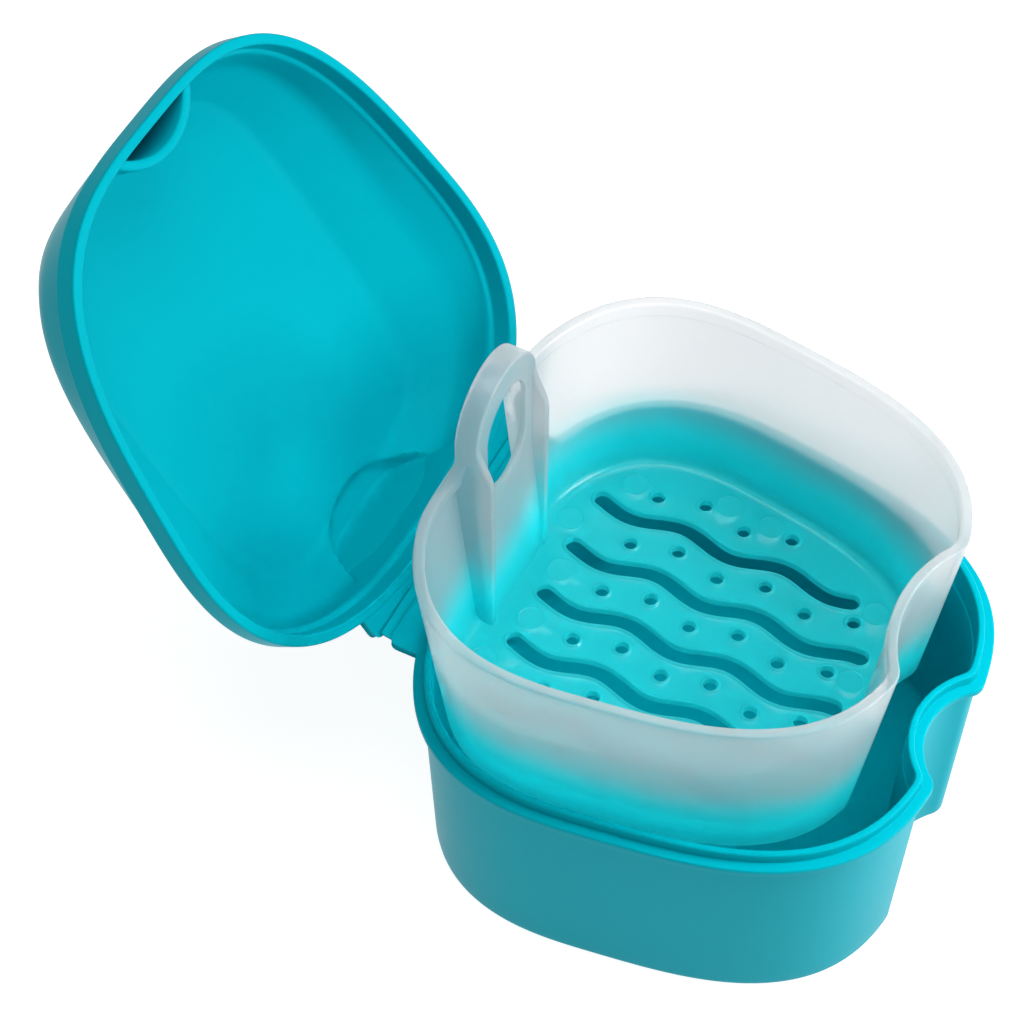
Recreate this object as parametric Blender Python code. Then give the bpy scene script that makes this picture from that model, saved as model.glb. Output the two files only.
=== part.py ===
"""Denture bath case: a tub with a finger scallop, a domed lid on a living hinge, and a lift-out strainer basket.

Lengths are in metres and Z is up. The origin is at the middle of the tub's underside, the scallop faces -Y and
the hinge is at +Y. The lid stands open and the basket stands raised, as when the case is being loaded.
"""

import math
from typing import NamedTuple

import bmesh
import bpy
import numpy as np
from mathutils import Vector


class Plan(NamedTuple):
    """A rounded-square outline seen from above, fuller at the front than at the back."""

    half_width: float
    front_reach: float
    back_reach: float
    front_power: float
    back_power: float
    widening_share: float


class Notch(NamedTuple):
    """A round bite out of the front of an outline, for a finger."""

    centre_reach: float
    radius: float
    corner: float


# Outline of the tub's flange, which the lid and the basket follow
CASE_HALF_WIDTH = 0.0460
CASE_FRONT_REACH = 0.0483
CASE_BACK_REACH = 0.0446
CASE_FRONT_POWER = 3.25
CASE_BACK_POWER = 2.55
CASE_WIDENING_SHARE = 0.15
TUB_NOTCH_STANDOFF = 0.0073
TUB_NOTCH_RADIUS = 0.0129
TUB_NOTCH_CORNER = 0.0016

# Tub
FLANGE_UNDERSIDE = 0.0426
FLANGE_THICKNESS = 0.0015
FLANGE_OVERHANG = 0.0014
FLANGE_EDGE_ROUND = 0.0003
TUB_DRAFT_INSET = 0.0013
TUB_WALL = 0.0015
TUB_FLOOR = 0.0018
TUB_BOTTOM_ROUND = 0.0012
TUB_FLOOR_FILLET = 0.0024
LEDGE_WIDTH = 0.0017
LIP_HEIGHT = 0.0021
LIP_THICKNESS = 0.0012
LIP_ROUND = 0.0004

# Lid, measured from its closed rim upwards
LID_SEAT_GAP = 0.0003
LID_OVERHANG = 0.0005
SKIRT_HEIGHT = 0.0043
SKIRT_WALL = 0.0018
SKIRT_STEP = 0.0004
DOME_WALL = 0.0015
DOME_KNEE_HEIGHT = 0.0113
DOME_KNEE_SIDE_INSET = 0.0047
DOME_KNEE_FRONT_INSET = 0.0031
DOME_KNEE_BACK_INSET = 0.0008
DOME_KNEE_FRONT_POWER = 3.4
DOME_KNEE_BACK_POWER = 3.2
DOME_KNEE_WIDENING_SHARE = 0.05
DOME_TOP_HEIGHT = 0.0187
DOME_TOP_SIDE_INSET = 0.0154
DOME_TOP_FRONT_INSET = 0.0069
DOME_TOP_BACK_INSET = 0.0062
DOME_TOP_FRONT_POWER = 4.0
DOME_TOP_BACK_POWER = 4.6
DOME_TOP_WIDENING_SHARE = 0.0
KNEE_ROUND_SHARE = 0.16
POCKET_WALL = 0.0018
LID_FOOT_RISE = 0.0002
HUMP_HALF_WIDTH = 0.0140
HUMP_LENGTH = 0.0106
HUMP_BACK_INSET = 0.0018
HUMP_RISE = 0.0018
HUMP_DRAFT = 0.0003
HUMP_NOSE_SHARE = 0.6
HUMP_TAIL_POWER = 0.5
HUMP_FOOT_SHARE = 0.35

# Living hinge
HINGE_HALF_LENGTH = 0.0263
HINGE_STANDOFF = 0.0026
HINGE_WEB_RADIUS = 0.0005
HINGE_CLEARANCE = 0.0003
LEAF_THICKNESS = 0.0015
LEAF_CORNER = 0.0016
LID_OPEN_ANGLE = math.radians(124.0)

# Basket, measured from the upper face of its floor
BASKET_NOTCH_STANDOFF = 0.0151
BASKET_NOTCH_RADIUS = 0.0203
BASKET_NOTCH_CORNER = 0.0020
BASKET_HEIGHT = 0.0390
BASKET_RIM_INSET = 0.0038
BASKET_FLOOR_INSET = 0.0078
BASKET_WALL = 0.00125
BASKET_FLOOR = 0.0013
BASKET_RIM_BAND = 0.0018
BASKET_RIM_BAND_HEIGHT = 0.0026
BASKET_EDGE_ROUND = 0.0004
BASKET_BOTTOM_ROUND = 0.0008
BASKET_FLOOR_FILLET = 0.0022
BASKET_BACK_FLAT = 0.0017

# Handle of the basket
HANDLE_HALF_WIDTH = 0.0108
HANDLE_HEIGHT = 0.0570
HANDLE_FRONT_INSET = 0.0139
HANDLE_BACK_INSET = 0.0068
HANDLE_BAND = 0.0015
HANDLE_WEB_INSET = 0.0113
HANDLE_WEB_FOOT_INSET = 0.0136
HANDLE_WEB = 0.0012
FINGER_SLOT_HALF_WIDTH = 0.0068
FINGER_SLOT_FOOT = 0.0262
FINGER_SLOT_HEADROOM = 0.0058
SHOULDER_RADIUS = 0.0044
SHOULDER_THICKNESS = 0.0012

# Drain pattern in the basket's floor
SLOT_PITCH_SHARE = 0.2537
SLOT_COUNT = 5
SLOT_WIDTH = 0.0032
SLOT_BACK_INSET = 0.0189
SLOT_SHIFT = 0.0005
SLOT_FRONT_INSET = 0.0189
SLOT_OUTER_FRONT_INSET = 0.0249
WAVE_LENGTH = 0.0196
WAVE_SWING = 0.0011
HOLE_DIAMETER = 0.0024
HOLE_PITCH = 0.0085
HOLE_BACK_REACH = 0.0169
HOLES_IN_ROW = 6
HOLES_IN_OUTER_ROW = 4

# Where the basket sits, and where it is held while it is loaded
BASKET_SEAT_GAP = 0.0004
BASKET_SEAT_SHIFT = 0.0003
BASKET_RAISED_SHIFT = 0.0039
BASKET_LIFT = 0.0330

# Fineness of the curved outlines
MAIN_POINTS = 70
NOTCH_POINTS = 10
CORNER_POINTS = 2
LID_POINTS = 76
ARC_POINTS = 10
HOLE_SIDES = 12
OVERRUN = 0.0040
ROUND_SHARE = 0.3

# Outlines, heights and depths that follow from the sizes above
CASE_PLAN = Plan(
    CASE_HALF_WIDTH, CASE_FRONT_REACH, CASE_BACK_REACH, CASE_FRONT_POWER, CASE_BACK_POWER, CASE_WIDENING_SHARE)
TUB_NOTCH = Notch(CASE_FRONT_REACH + TUB_NOTCH_STANDOFF, TUB_NOTCH_RADIUS, TUB_NOTCH_CORNER)
BASKET_NOTCH = Notch(CASE_FRONT_REACH + BASKET_NOTCH_STANDOFF, BASKET_NOTCH_RADIUS, BASKET_NOTCH_CORNER)
DOME_KNEE_PLAN = Plan(
    CASE_HALF_WIDTH - DOME_KNEE_SIDE_INSET, CASE_FRONT_REACH - DOME_KNEE_FRONT_INSET,
    CASE_BACK_REACH - DOME_KNEE_BACK_INSET, DOME_KNEE_FRONT_POWER, DOME_KNEE_BACK_POWER, DOME_KNEE_WIDENING_SHARE)
DOME_TOP_PLAN = Plan(
    CASE_HALF_WIDTH - DOME_TOP_SIDE_INSET, CASE_FRONT_REACH - DOME_TOP_FRONT_INSET,
    CASE_BACK_REACH - DOME_TOP_BACK_INSET, DOME_TOP_FRONT_POWER, DOME_TOP_BACK_POWER, DOME_TOP_WIDENING_SHARE)
HUMP_BACK_REACH = CASE_BACK_REACH - HUMP_BACK_INSET
HUMP_FRONT_REACH = HUMP_BACK_REACH - HUMP_LENGTH
HINGE_AXIS_REACH = CASE_BACK_REACH + HINGE_STANDOFF
HANDLE_FRONT_REACH = CASE_BACK_REACH - HANDLE_FRONT_INSET
HANDLE_BACK_REACH = CASE_BACK_REACH - HANDLE_BACK_INSET
HANDLE_WEB_REACH = CASE_BACK_REACH - HANDLE_WEB_INSET
HANDLE_WEB_FOOT_REACH = CASE_BACK_REACH - HANDLE_WEB_FOOT_INSET
FINGER_SLOT_HEAD = HANDLE_HEIGHT - FINGER_SLOT_HEADROOM
SLOT_BACK_REACH = CASE_BACK_REACH - SLOT_BACK_INSET
SLOT_PITCH = CASE_HALF_WIDTH * SLOT_PITCH_SHARE
FLANGE_TOP = FLANGE_UNDERSIDE + FLANGE_THICKNESS
LIP_TOP = FLANGE_TOP + LIP_HEIGHT
HINGE_AXIS_HEIGHT = FLANGE_UNDERSIDE + FLANGE_THICKNESS / 2
LID_RIM_HEIGHT = FLANGE_TOP + LID_SEAT_GAP
BASKET_SEATED_FLOOR = TUB_FLOOR + BASKET_SEAT_GAP + BASKET_FLOOR
LEAF_REACH = HINGE_AXIS_REACH - HINGE_WEB_RADIUS - HINGE_CLEARANCE


def make_material(name, colour, roughness):
    """One Principled finish with a colour and a roughness."""
    material = bpy.data.materials.new(name)
    material.use_nodes = True
    shader = material.node_tree.nodes["Principled BSDF"]
    shader.inputs["Base Color"].default_value = (*colour, 1.0)
    shader.inputs["Roughness"].default_value = roughness
    shader.inputs["Metallic"].default_value = 0.0
    return material


def clear_scene():
    """Remove every object of the open scene."""
    for scene_object in list(bpy.data.objects):
        bpy.data.objects.remove(scene_object, do_unlink=True)


def make_collection(name):
    """A new collection under the scene's own."""
    collection = bpy.data.collections.new(name)
    bpy.context.scene.collection.children.link(collection)
    return collection


def add_empty(name, collection, location, rotation_x):
    """An empty that carries the pieces that move together."""
    empty = bpy.data.objects.new(name, None)
    empty.location = location
    empty.rotation_euler = (rotation_x, 0.0, 0.0)
    collection.objects.link(empty)
    return empty


def plan_curve(plan, inset, angles):
    """Points of a plan's outline, drawn in by inset, at polar angles about the middle."""
    cosines, sines = np.cos(angles), np.sin(angles)
    behind = sines > 0.0
    reach = np.where(behind, plan.back_reach, plan.front_reach) - inset
    power = np.where(behind, plan.back_power, plan.front_power)
    spans = np.abs(cosines / (plan.half_width - inset)) ** power + np.abs(sines / reach) ** power
    radius = spans ** (-1.0 / power)
    y = radius * sines
    x = radius * cosines * (1.0 + plan.widening_share * y / plan.half_width)
    return np.stack([x, y], axis=1)


def evenly_spaced(points, count, start_gap, end_gap):
    """Points at equal steps along a polyline, leaving a gap at each end."""
    steps = np.hypot(*np.diff(points, axis=0).T)
    travel = np.concatenate([[0.0], np.cumsum(steps)])
    stations = np.linspace(start_gap, travel[-1] - end_gap, count)
    return np.stack([np.interp(stations, travel, points[:, axis]) for axis in (0, 1)], axis=1)


def plain_outline(plan, inset):
    """Closed outline without a notch, anticlockwise from the middle of the front."""
    angles = np.linspace(-math.pi / 2, 3 * math.pi / 2, 721)
    return evenly_spaced(plan_curve(plan, inset, angles), LID_POINTS + 1, 0.0, 0.0)[:-1]


def notch_crossing(plan, inset, notch):
    """Polar angle at which the right-hand side of the notch meets the outline."""
    centre = np.array([0.0, -notch.centre_reach])
    low, high = -math.pi / 2, 0.0
    for _ in range(40):
        middle = (low + high) / 2
        point = plan_curve(plan, inset, np.array([middle]))[0]
        inside_notch = np.hypot(*(point - centre)) < notch.radius + inset
        low, high = (middle, high) if inside_notch else (low, middle)
    return (low + high) / 2


def rounded_corner(before, corner, after):
    """Points strictly between two ends of a corner, on a curve that the corner draws out."""
    shares = np.linspace(0.0, 1.0, CORNER_POINTS + 2)[1:-1, None]
    return (1 - shares) ** 2 * before + 2 * shares * (1 - shares) * corner + shares ** 2 * after


def notched_outline(plan, inset, notch, back_limit=math.inf):
    """Closed outline with the finger notch at the front, anticlockwise from the notch's right-hand corner."""
    crossing = notch_crossing(plan, inset, notch)
    side = plan_curve(plan, inset, np.linspace(crossing, math.pi - crossing, 601))
    right_corner, left_corner = side[0].copy(), side[-1].copy()
    side[:, 1] = np.minimum(side[:, 1], back_limit)
    side = evenly_spaced(side, MAIN_POINTS, notch.corner, notch.corner)
    radius = notch.radius + inset
    swing = math.asin(right_corner[0] / radius)
    turns = np.linspace(-swing, swing, 121)
    bite = np.stack([radius * np.sin(turns), radius * np.cos(turns) - notch.centre_reach], axis=1)
    bite = evenly_spaced(bite, NOTCH_POINTS, notch.corner, notch.corner)
    left_round = rounded_corner(side[-1], left_corner, bite[0])
    right_round = rounded_corner(bite[-1], right_corner, side[0])
    return np.concatenate([side, left_round, bite, right_round])


def raise_outline(outline, height):
    """An outline as 3-D points at one height."""
    return [Vector((x, y, height)) for x, y in outline]


def add_mesh(name, mesh_builder, collection, material, parent=None):
    """A new object whose mesh comes from a filled bmesh, shaded smooth apart from its sharp edges."""
    mesh = bpy.data.meshes.new(name)
    bmesh.ops.recalc_face_normals(mesh_builder, faces=mesh_builder.faces)
    mesh_builder.to_mesh(mesh)
    mesh_builder.free()
    mesh.shade_smooth()
    mesh.set_sharp_from_angle(angle=math.radians(35.0))
    mesh.materials.append(material)
    piece = bpy.data.objects.new(name, mesh)
    piece.parent = parent
    collection.objects.link(piece)
    return piece


def skin_loops(builder, loops):
    """Join equal loops of points into one closed skin, with a flat cap on the first and last loop."""
    rows = [[builder.verts.new(point) for point in loop] for loop in loops]
    for lower, upper in zip(rows, rows[1:]):
        for index in range(len(lower)):
            following = (index + 1) % len(lower)
            builder.faces.new((lower[index], lower[following], upper[following], upper[index]))
    builder.faces.new(reversed(rows[0]))
    builder.faces.new(rows[-1])


def loft(name, loops, collection, material, parent=None):
    """A closed solid skinned over loops."""
    builder = bmesh.new()
    skin_loops(builder, loops)
    return add_mesh(name, builder, collection, material, parent)


def extrude_flat(builder, face_points, offset):
    """Extrude a flat face of points into a closed solid."""
    face = builder.faces.new([builder.verts.new(point) for point in face_points])
    grown = bmesh.ops.extrude_face_region(builder, geom=[face])
    moved = [item for item in grown["geom"] if isinstance(item, bmesh.types.BMVert)]
    bmesh.ops.translate(builder, verts=moved, vec=offset)


def boolean(target, tool, operation):
    """Cut or join one solid with another, and keep the tool out of the picture."""
    modifier = target.modifiers.new(tool.name, "BOOLEAN")
    modifier.operation = operation
    modifier.object = tool
    modifier.solver = "EXACT"
    tool.hide_render = True
    tool.display_type = "WIRE"


def tub_rings():
    """Insets and heights of the tub's skin, from under the floor, over the rim and down to the floor."""
    wall_top = FLANGE_OVERHANG
    wall_foot = wall_top + TUB_DRAFT_INSET
    inner_top = LEDGE_WIDTH + LIP_THICKNESS
    inner_foot = wall_foot + TUB_WALL
    return [
        (wall_foot + TUB_BOTTOM_ROUND, 0.0),
        (wall_foot + TUB_BOTTOM_ROUND * ROUND_SHARE, TUB_BOTTOM_ROUND * ROUND_SHARE),
        (wall_foot, TUB_BOTTOM_ROUND),
        (wall_top, FLANGE_UNDERSIDE),
        (FLANGE_EDGE_ROUND, FLANGE_UNDERSIDE),
        (0.0, FLANGE_UNDERSIDE + FLANGE_EDGE_ROUND),
        (0.0, FLANGE_TOP - FLANGE_EDGE_ROUND),
        (FLANGE_EDGE_ROUND, FLANGE_TOP),
        (LEDGE_WIDTH, FLANGE_TOP),
        (LEDGE_WIDTH, LIP_TOP - LIP_ROUND),
        (LEDGE_WIDTH + LIP_ROUND, LIP_TOP),
        (inner_top - LIP_ROUND, LIP_TOP),
        (inner_top, LIP_TOP - LIP_ROUND),
        (inner_foot, TUB_FLOOR + TUB_FLOOR_FILLET),
        (inner_foot + TUB_FLOOR_FILLET * ROUND_SHARE, TUB_FLOOR + TUB_FLOOR_FILLET * ROUND_SHARE),
        (inner_foot + TUB_FLOOR_FILLET, TUB_FLOOR),
    ]


def leaf_loops(root_inset, low, high):
    """Lower and upper outline of a hinge leaf that grows straight back from the rim's curved edge."""
    angles = np.linspace(0.0, math.pi, 181)
    curve = plan_curve(CASE_PLAN, root_inset, angles)
    root = curve[np.abs(curve[:, 0]) < HINGE_HALF_LENGTH]
    root = evenly_spaced(root, ARC_POINTS, 0.0, 0.0)
    edge = HINGE_HALF_LENGTH
    tail = [
        (-edge, LEAF_REACH - LEAF_CORNER),
        (LEAF_CORNER / 2 - edge, LEAF_REACH),
        (edge - LEAF_CORNER / 2, LEAF_REACH),
        (edge, LEAF_REACH - LEAF_CORNER),
    ]
    outline = np.concatenate([root, np.array(tail)])[::-1]
    return [raise_outline(outline, low), raise_outline(outline, high)]


def build_tub(collection, cutters, material):
    """The tub with its flange, lip and the hinge leaf moulded on its back."""
    loops = []
    for inset, height in tub_rings():
        loops.append(raise_outline(notched_outline(CASE_PLAN, inset, TUB_NOTCH), height))
    tub = loft("tub", loops, collection, material)
    root_inset = LEDGE_WIDTH / 2
    leaf_low = FLANGE_UNDERSIDE + HINGE_CLEARANCE / 2
    leaf_high = FLANGE_TOP - HINGE_CLEARANCE / 2
    leaf = loft("tub_leaf", leaf_loops(root_inset, leaf_low, leaf_high), cutters, material)
    boolean(tub, leaf, "UNION")
    return tub


def mix_plans(first, second, share):
    """A plan part of the way from one plan to another."""
    return Plan(*((1.0 - share) * start + share * end for start, end in zip(first, second)))


def shrink_plan(plan, wall):
    """A plan drawn in by a wall on every side."""
    return plan._replace(
        half_width=plan.half_width - wall,
        front_reach=plan.front_reach - wall,
        back_reach=plan.back_reach - wall,
    )


def dome_sections(wall_share):
    """Plans and heights of the lid's dome: its outer face at share 0 and its inner face at share 1."""
    skirt_plan = shrink_plan(CASE_PLAN, SKIRT_WALL * wall_share - LID_OVERHANG)
    step_plan = shrink_plan(skirt_plan, SKIRT_STEP)
    knee_plan = shrink_plan(DOME_KNEE_PLAN, DOME_WALL * wall_share)
    top_plan = shrink_plan(DOME_TOP_PLAN, DOME_WALL * wall_share)
    knee_height = DOME_KNEE_HEIGHT - DOME_WALL * wall_share * 2 / 3
    top_height = DOME_TOP_HEIGHT - DOME_WALL * wall_share
    step_height = SKIRT_HEIGHT + SKIRT_STEP

    def between(low, high, share):
        return mix_plans(low[0], high[0], share), (1 - share) * low[1] + share * high[1]

    step, knee, top = (step_plan, step_height), (knee_plan, knee_height), (top_plan, top_height)
    before_knee = between(step, knee, 1 - KNEE_ROUND_SHARE * 2)
    after_knee = between(knee, top, KNEE_ROUND_SHARE)
    middle = between(before_knee, after_knee, 1 / 2)
    soft_knee = between(middle, knee, 1 / 2)
    before_top = between(knee, top, 1 - KNEE_ROUND_SHARE / 2)
    flat = (shrink_plan(top_plan, (knee_plan.half_width - top_plan.half_width) * KNEE_ROUND_SHARE), top_height)
    soft_top = between(between(before_top, flat, 1 / 2), top, 1 / 2)
    return [(skirt_plan, SKIRT_HEIGHT), step, before_knee, soft_knee, after_knee, before_top, soft_top, flat]


def dome_solid(name, wall_share, rim_drop, collection, material, parent):
    """The space inside the dome's outer or inner face, as one closed solid that starts at the rim."""
    sections = dome_sections(wall_share)
    rim = (sections[0][0], -rim_drop)
    loops = []
    for plan, height in [rim] + sections:
        outline = plain_outline(plan, 0.0)
        loops.append(raise_outline(outline, height))
    return loft(name, lift_to_rim(loops), collection, material, parent)


def lift_to_rim(loops):
    """Move loops measured from the lid's closed rim into the frame of the hinge axis."""
    shift = Vector((0.0, -HINGE_AXIS_REACH, LID_RIM_HEIGHT - HINGE_AXIS_HEIGHT))
    return [[point + shift for point in loop] for loop in loops]


def hump_outline(wall):
    """A round-nosed outline round the top of the basket's handle, with its nose towards the front."""
    half_width, nose, tail = HUMP_HALF_WIDTH - wall, HUMP_FRONT_REACH + wall, HUMP_BACK_REACH - wall
    nose_depth = (tail - nose) * HUMP_NOSE_SHARE
    tail_depth = (tail - nose) - nose_depth
    front = [(half_width * math.cos(turn), nose + nose_depth + nose_depth * math.sin(turn))
             for turn in np.linspace(-math.pi, 0.0, ARC_POINTS + 2)]
    back = [(half_width * math.cos(turn), tail - tail_depth + tail_depth * math.sin(turn) ** HUMP_TAIL_POWER)
            for turn in np.linspace(0.0, math.pi, ARC_POINTS)[1:-1]]
    return np.array(front + back)


def hump_loops(wall, low, high):
    """The boss over the handle, a little narrower at its top."""
    foot, top = hump_outline(wall), hump_outline(wall + HUMP_DRAFT)
    return lift_to_rim([raise_outline(foot, low), raise_outline(top, high)])


def pocket_wall_loops():
    """The curved wall inside the lid that closes the tub's finger scallop."""
    inner_radius = TUB_NOTCH.radius - LID_OVERHANG
    outer_radius = inner_radius + POCKET_WALL
    swing = math.asin(TUB_NOTCH.corner * 2 / outer_radius) + math.pi / 2 - math.asin(
        (TUB_NOTCH.centre_reach - CASE_PLAN.front_reach) / outer_radius)
    turns = np.linspace(-swing, swing, ARC_POINTS * 2)
    outer = [(outer_radius * math.sin(t), outer_radius * math.cos(t) - TUB_NOTCH.centre_reach) for t in turns]
    inner = [(inner_radius * math.sin(t), inner_radius * math.cos(t) - TUB_NOTCH.centre_reach) for t in turns]
    outline = (outer + inner[::-1])[::-1]
    return lift_to_rim([raise_outline(outline, LID_FOOT_RISE), raise_outline(outline, DOME_TOP_HEIGHT)])


def build_lid(collection, cutters, material):
    """The domed lid, turned open about the hinge axis that its empty stands on."""
    axis = add_empty("lid_hinge_axis", cutters, (0.0, HINGE_AXIS_REACH, HINGE_AXIS_HEIGHT), -LID_OPEN_ANGLE)
    lid = dome_solid("lid", 0.0, 0.0, collection, material, axis)
    hump_foot = DOME_TOP_HEIGHT * HUMP_FOOT_SHARE
    hump_top = DOME_TOP_HEIGHT + HUMP_RISE
    hump = loft("hump", hump_loops(0.0, hump_foot, hump_top), cutters, material, axis)
    hollow = dome_solid("lid_hollow", 1.0, OVERRUN, cutters, material, axis)
    hump_hollow_loops = hump_loops(DOME_WALL, hump_foot, hump_top - DOME_WALL)
    hump_hollow = loft("hump_hollow", hump_hollow_loops, cutters, material, axis)
    envelope = dome_solid("lid_middle", 1 / 2, OVERRUN, cutters, material, axis)
    pocket_wall = loft("pocket_wall", pocket_wall_loops(), cutters, material, axis)
    leaf_bottom, leaf_top = LID_FOOT_RISE, LEAF_THICKNESS
    leaf = loft("lid_leaf", lift_to_rim(leaf_loops(0.0, leaf_bottom, leaf_top)), cutters, material, axis)
    boolean(hollow, hump_hollow, "UNION")
    boolean(lid, hump, "UNION")
    boolean(lid, hollow, "DIFFERENCE")
    boolean(pocket_wall, envelope, "INTERSECT")
    boolean(lid, pocket_wall, "UNION")
    boolean(lid, leaf, "UNION")
    return lid


def build_hinge_web(collection, material):
    """The thin round web of the living hinge, on the axis between the two leaves."""
    builder = bmesh.new()
    length = HINGE_HALF_LENGTH * 2 - LEAF_CORNER
    bmesh.ops.create_cone(
        builder, cap_ends=True, segments=HOLE_SIDES, radius1=HINGE_WEB_RADIUS, radius2=HINGE_WEB_RADIUS, depth=length)
    web = add_mesh("hinge_web", builder, collection, material)
    web.location = (0.0, HINGE_AXIS_REACH, HINGE_AXIS_HEIGHT)
    web.rotation_euler = (0.0, math.pi / 2, 0.0)
    return web


def basket_inset(height):
    """How far the basket's outer wall lies inside the case's outline at a height above its floor."""
    return BASKET_FLOOR_INSET + (BASKET_RIM_INSET - BASKET_FLOOR_INSET) * height / BASKET_HEIGHT


def basket_back(height):
    """Where the flat back of the basket's outer wall lies at a height above its floor."""
    return CASE_PLAN.back_reach - basket_inset(height) - BASKET_BACK_FLAT


def basket_rings():
    """Walls and heights of the basket's skin: how far each ring lies inside the outer wall, and how high."""
    band_foot = BASKET_HEIGHT - BASKET_RIM_BAND_HEIGHT
    return [
        (BASKET_BOTTOM_ROUND, -BASKET_FLOOR),
        (BASKET_BOTTOM_ROUND * ROUND_SHARE, BASKET_BOTTOM_ROUND * ROUND_SHARE - BASKET_FLOOR),
        (0.0, BASKET_BOTTOM_ROUND - BASKET_FLOOR),
        (0.0, BASKET_HEIGHT - BASKET_EDGE_ROUND),
        (BASKET_EDGE_ROUND, BASKET_HEIGHT),
        (BASKET_RIM_BAND - BASKET_EDGE_ROUND, BASKET_HEIGHT),
        (BASKET_RIM_BAND, BASKET_HEIGHT - BASKET_EDGE_ROUND),
        (BASKET_RIM_BAND, band_foot),
        (BASKET_WALL, band_foot - BASKET_EDGE_ROUND),
        (BASKET_WALL, BASKET_FLOOR_FILLET),
        (BASKET_WALL + BASKET_FLOOR_FILLET * ROUND_SHARE, BASKET_FLOOR_FILLET * ROUND_SHARE),
        (BASKET_WALL + BASKET_FLOOR_FILLET, 0.0),
    ]


def handle_back(height):
    """Back edge of the handle's band: on the wall's outer face low down, and upright above the rim."""
    return min(basket_back(height) - BASKET_WALL / 8, HANDLE_BACK_REACH)


def handle_band_loops():
    """Sections of the band that runs up one side of the handle, over its top and down the other side."""
    turn_height = HANDLE_HEIGHT - HANDLE_HALF_WIDTH
    foot = -BASKET_FLOOR * 3 / 4
    leg_heights = [foot, turn_height / 4, turn_height / 2, turn_height * 3 / 4]
    path = [(math.pi, height) for height in leg_heights]
    path += [(turn, turn_height) for turn in np.linspace(math.pi, 0.0, ARC_POINTS * 2)]
    path += [(0.0, height) for height in reversed(leg_heights)]
    loops = []
    for turn, height in path:
        loop = []
        for radius, at_front in ((1, True), (0, True), (0, False), (1, False)):
            reach = HANDLE_HALF_WIDTH - HANDLE_BAND * radius
            x, z = reach * math.cos(turn), height + reach * math.sin(turn)
            y = HANDLE_FRONT_REACH if at_front else handle_back(z)
            loop.append(Vector((x, y, z)))
        loops.append(loop)
    return loops


def web_front(height):
    """Front face of the web between the handle's legs, which leans back up to the finger slot."""
    share = min(max(height / FINGER_SLOT_FOOT, 0.0), 1.0)
    return HANDLE_WEB_FOOT_REACH + (HANDLE_WEB_REACH - HANDLE_WEB_FOOT_REACH) * share


def web_section(height, half_width, back):
    """One level cut of the web, or of the open channel behind it."""
    front = web_front(height) if back is None else web_front(height) + HANDLE_WEB
    rear = front + HANDLE_WEB if back is None else back
    sides = ((half_width, front), (half_width, rear), (-half_width, rear), (-half_width, front))
    return [Vector((x, y, height)) for x, y in sides]


def web_loops():
    """Level cuts of the web, which closes the basket between the legs and fills the arch."""
    half_width = HANDLE_HALF_WIDTH - HANDLE_BAND / 2
    turn_height = HANDLE_HEIGHT - HANDLE_HALF_WIDTH
    steps = [(-BASKET_FLOOR * 3 / 4, 1.0), (0.0, 1.0), (FINGER_SLOT_FOOT, 1.0)]
    turns = np.linspace(0.0, math.pi / 2, ARC_POINTS + 2)[:-1]
    steps += [(turn_height + half_width * math.sin(turn), math.cos(turn)) for turn in turns]
    return [web_section(height, half_width * share, None) for height, share in steps]


def channel_loops():
    """Level cuts of the open channel behind the web, from under the floor to above the rim."""
    half_width = HANDLE_HALF_WIDTH - HANDLE_BAND
    back = HANDLE_BACK_REACH + OVERRUN
    heights = (-BASKET_FLOOR - OVERRUN, 0.0, FINGER_SLOT_FOOT, BASKET_HEIGHT + OVERRUN / 2)
    return [web_section(height, half_width, back) for height in heights]


def stadium_outline(half_width, foot, head):
    """Upright outline with round ends, as pairs of X and Z."""
    top = [(half_width * math.cos(t), head - half_width + half_width * math.sin(t))
           for t in np.linspace(0.0, math.pi, ARC_POINTS + 2)]
    bottom = [(half_width * math.cos(t), foot + half_width + half_width * math.sin(t))
              for t in np.linspace(math.pi, 2 * math.pi, ARC_POINTS + 2)]
    return top + bottom


def upright_solid(name, outlines, front, depth, cutters, material, parent):
    """Solids with upright outlines of X and Z, extruded towards the back."""
    builder = bmesh.new()
    for outline in outlines:
        extrude_flat(builder, [Vector((x, front, z)) for x, z in outline], Vector((0.0, depth, 0.0)))
    return add_mesh(name, builder, cutters, material, parent)


def shoulder_outline(side):
    """A fillet plate between the rim and one leg of the handle, on the side of its sign."""
    leg = HANDLE_HALF_WIDTH - HANDLE_BAND / 2
    foot = BASKET_HEIGHT - BASKET_RIM_BAND_HEIGHT / 2
    centre_x, centre_z = HANDLE_HALF_WIDTH + SHOULDER_RADIUS, BASKET_HEIGHT + SHOULDER_RADIUS
    hollow = [(centre_x - SHOULDER_RADIUS * math.cos(t), centre_z - SHOULDER_RADIUS * math.sin(t))
              for t in np.linspace(0.0, math.pi / 2, ARC_POINTS)]
    outline = [(leg, foot), (leg, centre_z)] + hollow + [(centre_x, foot)]
    return [(side * x, z) for x, z in outline]


def wave(y):
    """Sideways swing of the drain pattern at a depth."""
    return -WAVE_SWING * math.cos(2 * math.pi * y / WAVE_LENGTH)


def slot_outline(row_x, front):
    """One wavy drain slot with round ends, as pairs of X and Y."""
    half = SLOT_WIDTH / 2
    back = SLOT_BACK_REACH
    depths = np.linspace(back, front, 26)
    left = [(row_x + wave(y) - half, y) for y in depths]
    right = [(row_x + wave(y) + half, y) for y in reversed(depths)]
    turns = np.linspace(0.0, math.pi, 7)[1:-1]
    front_end = [(row_x + wave(front) - half * math.cos(t), front - half * math.sin(t)) for t in turns]
    back_end = [(row_x + wave(back) + half * math.cos(t), back + half * math.sin(t)) for t in turns]
    return left + front_end + right + back_end


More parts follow.
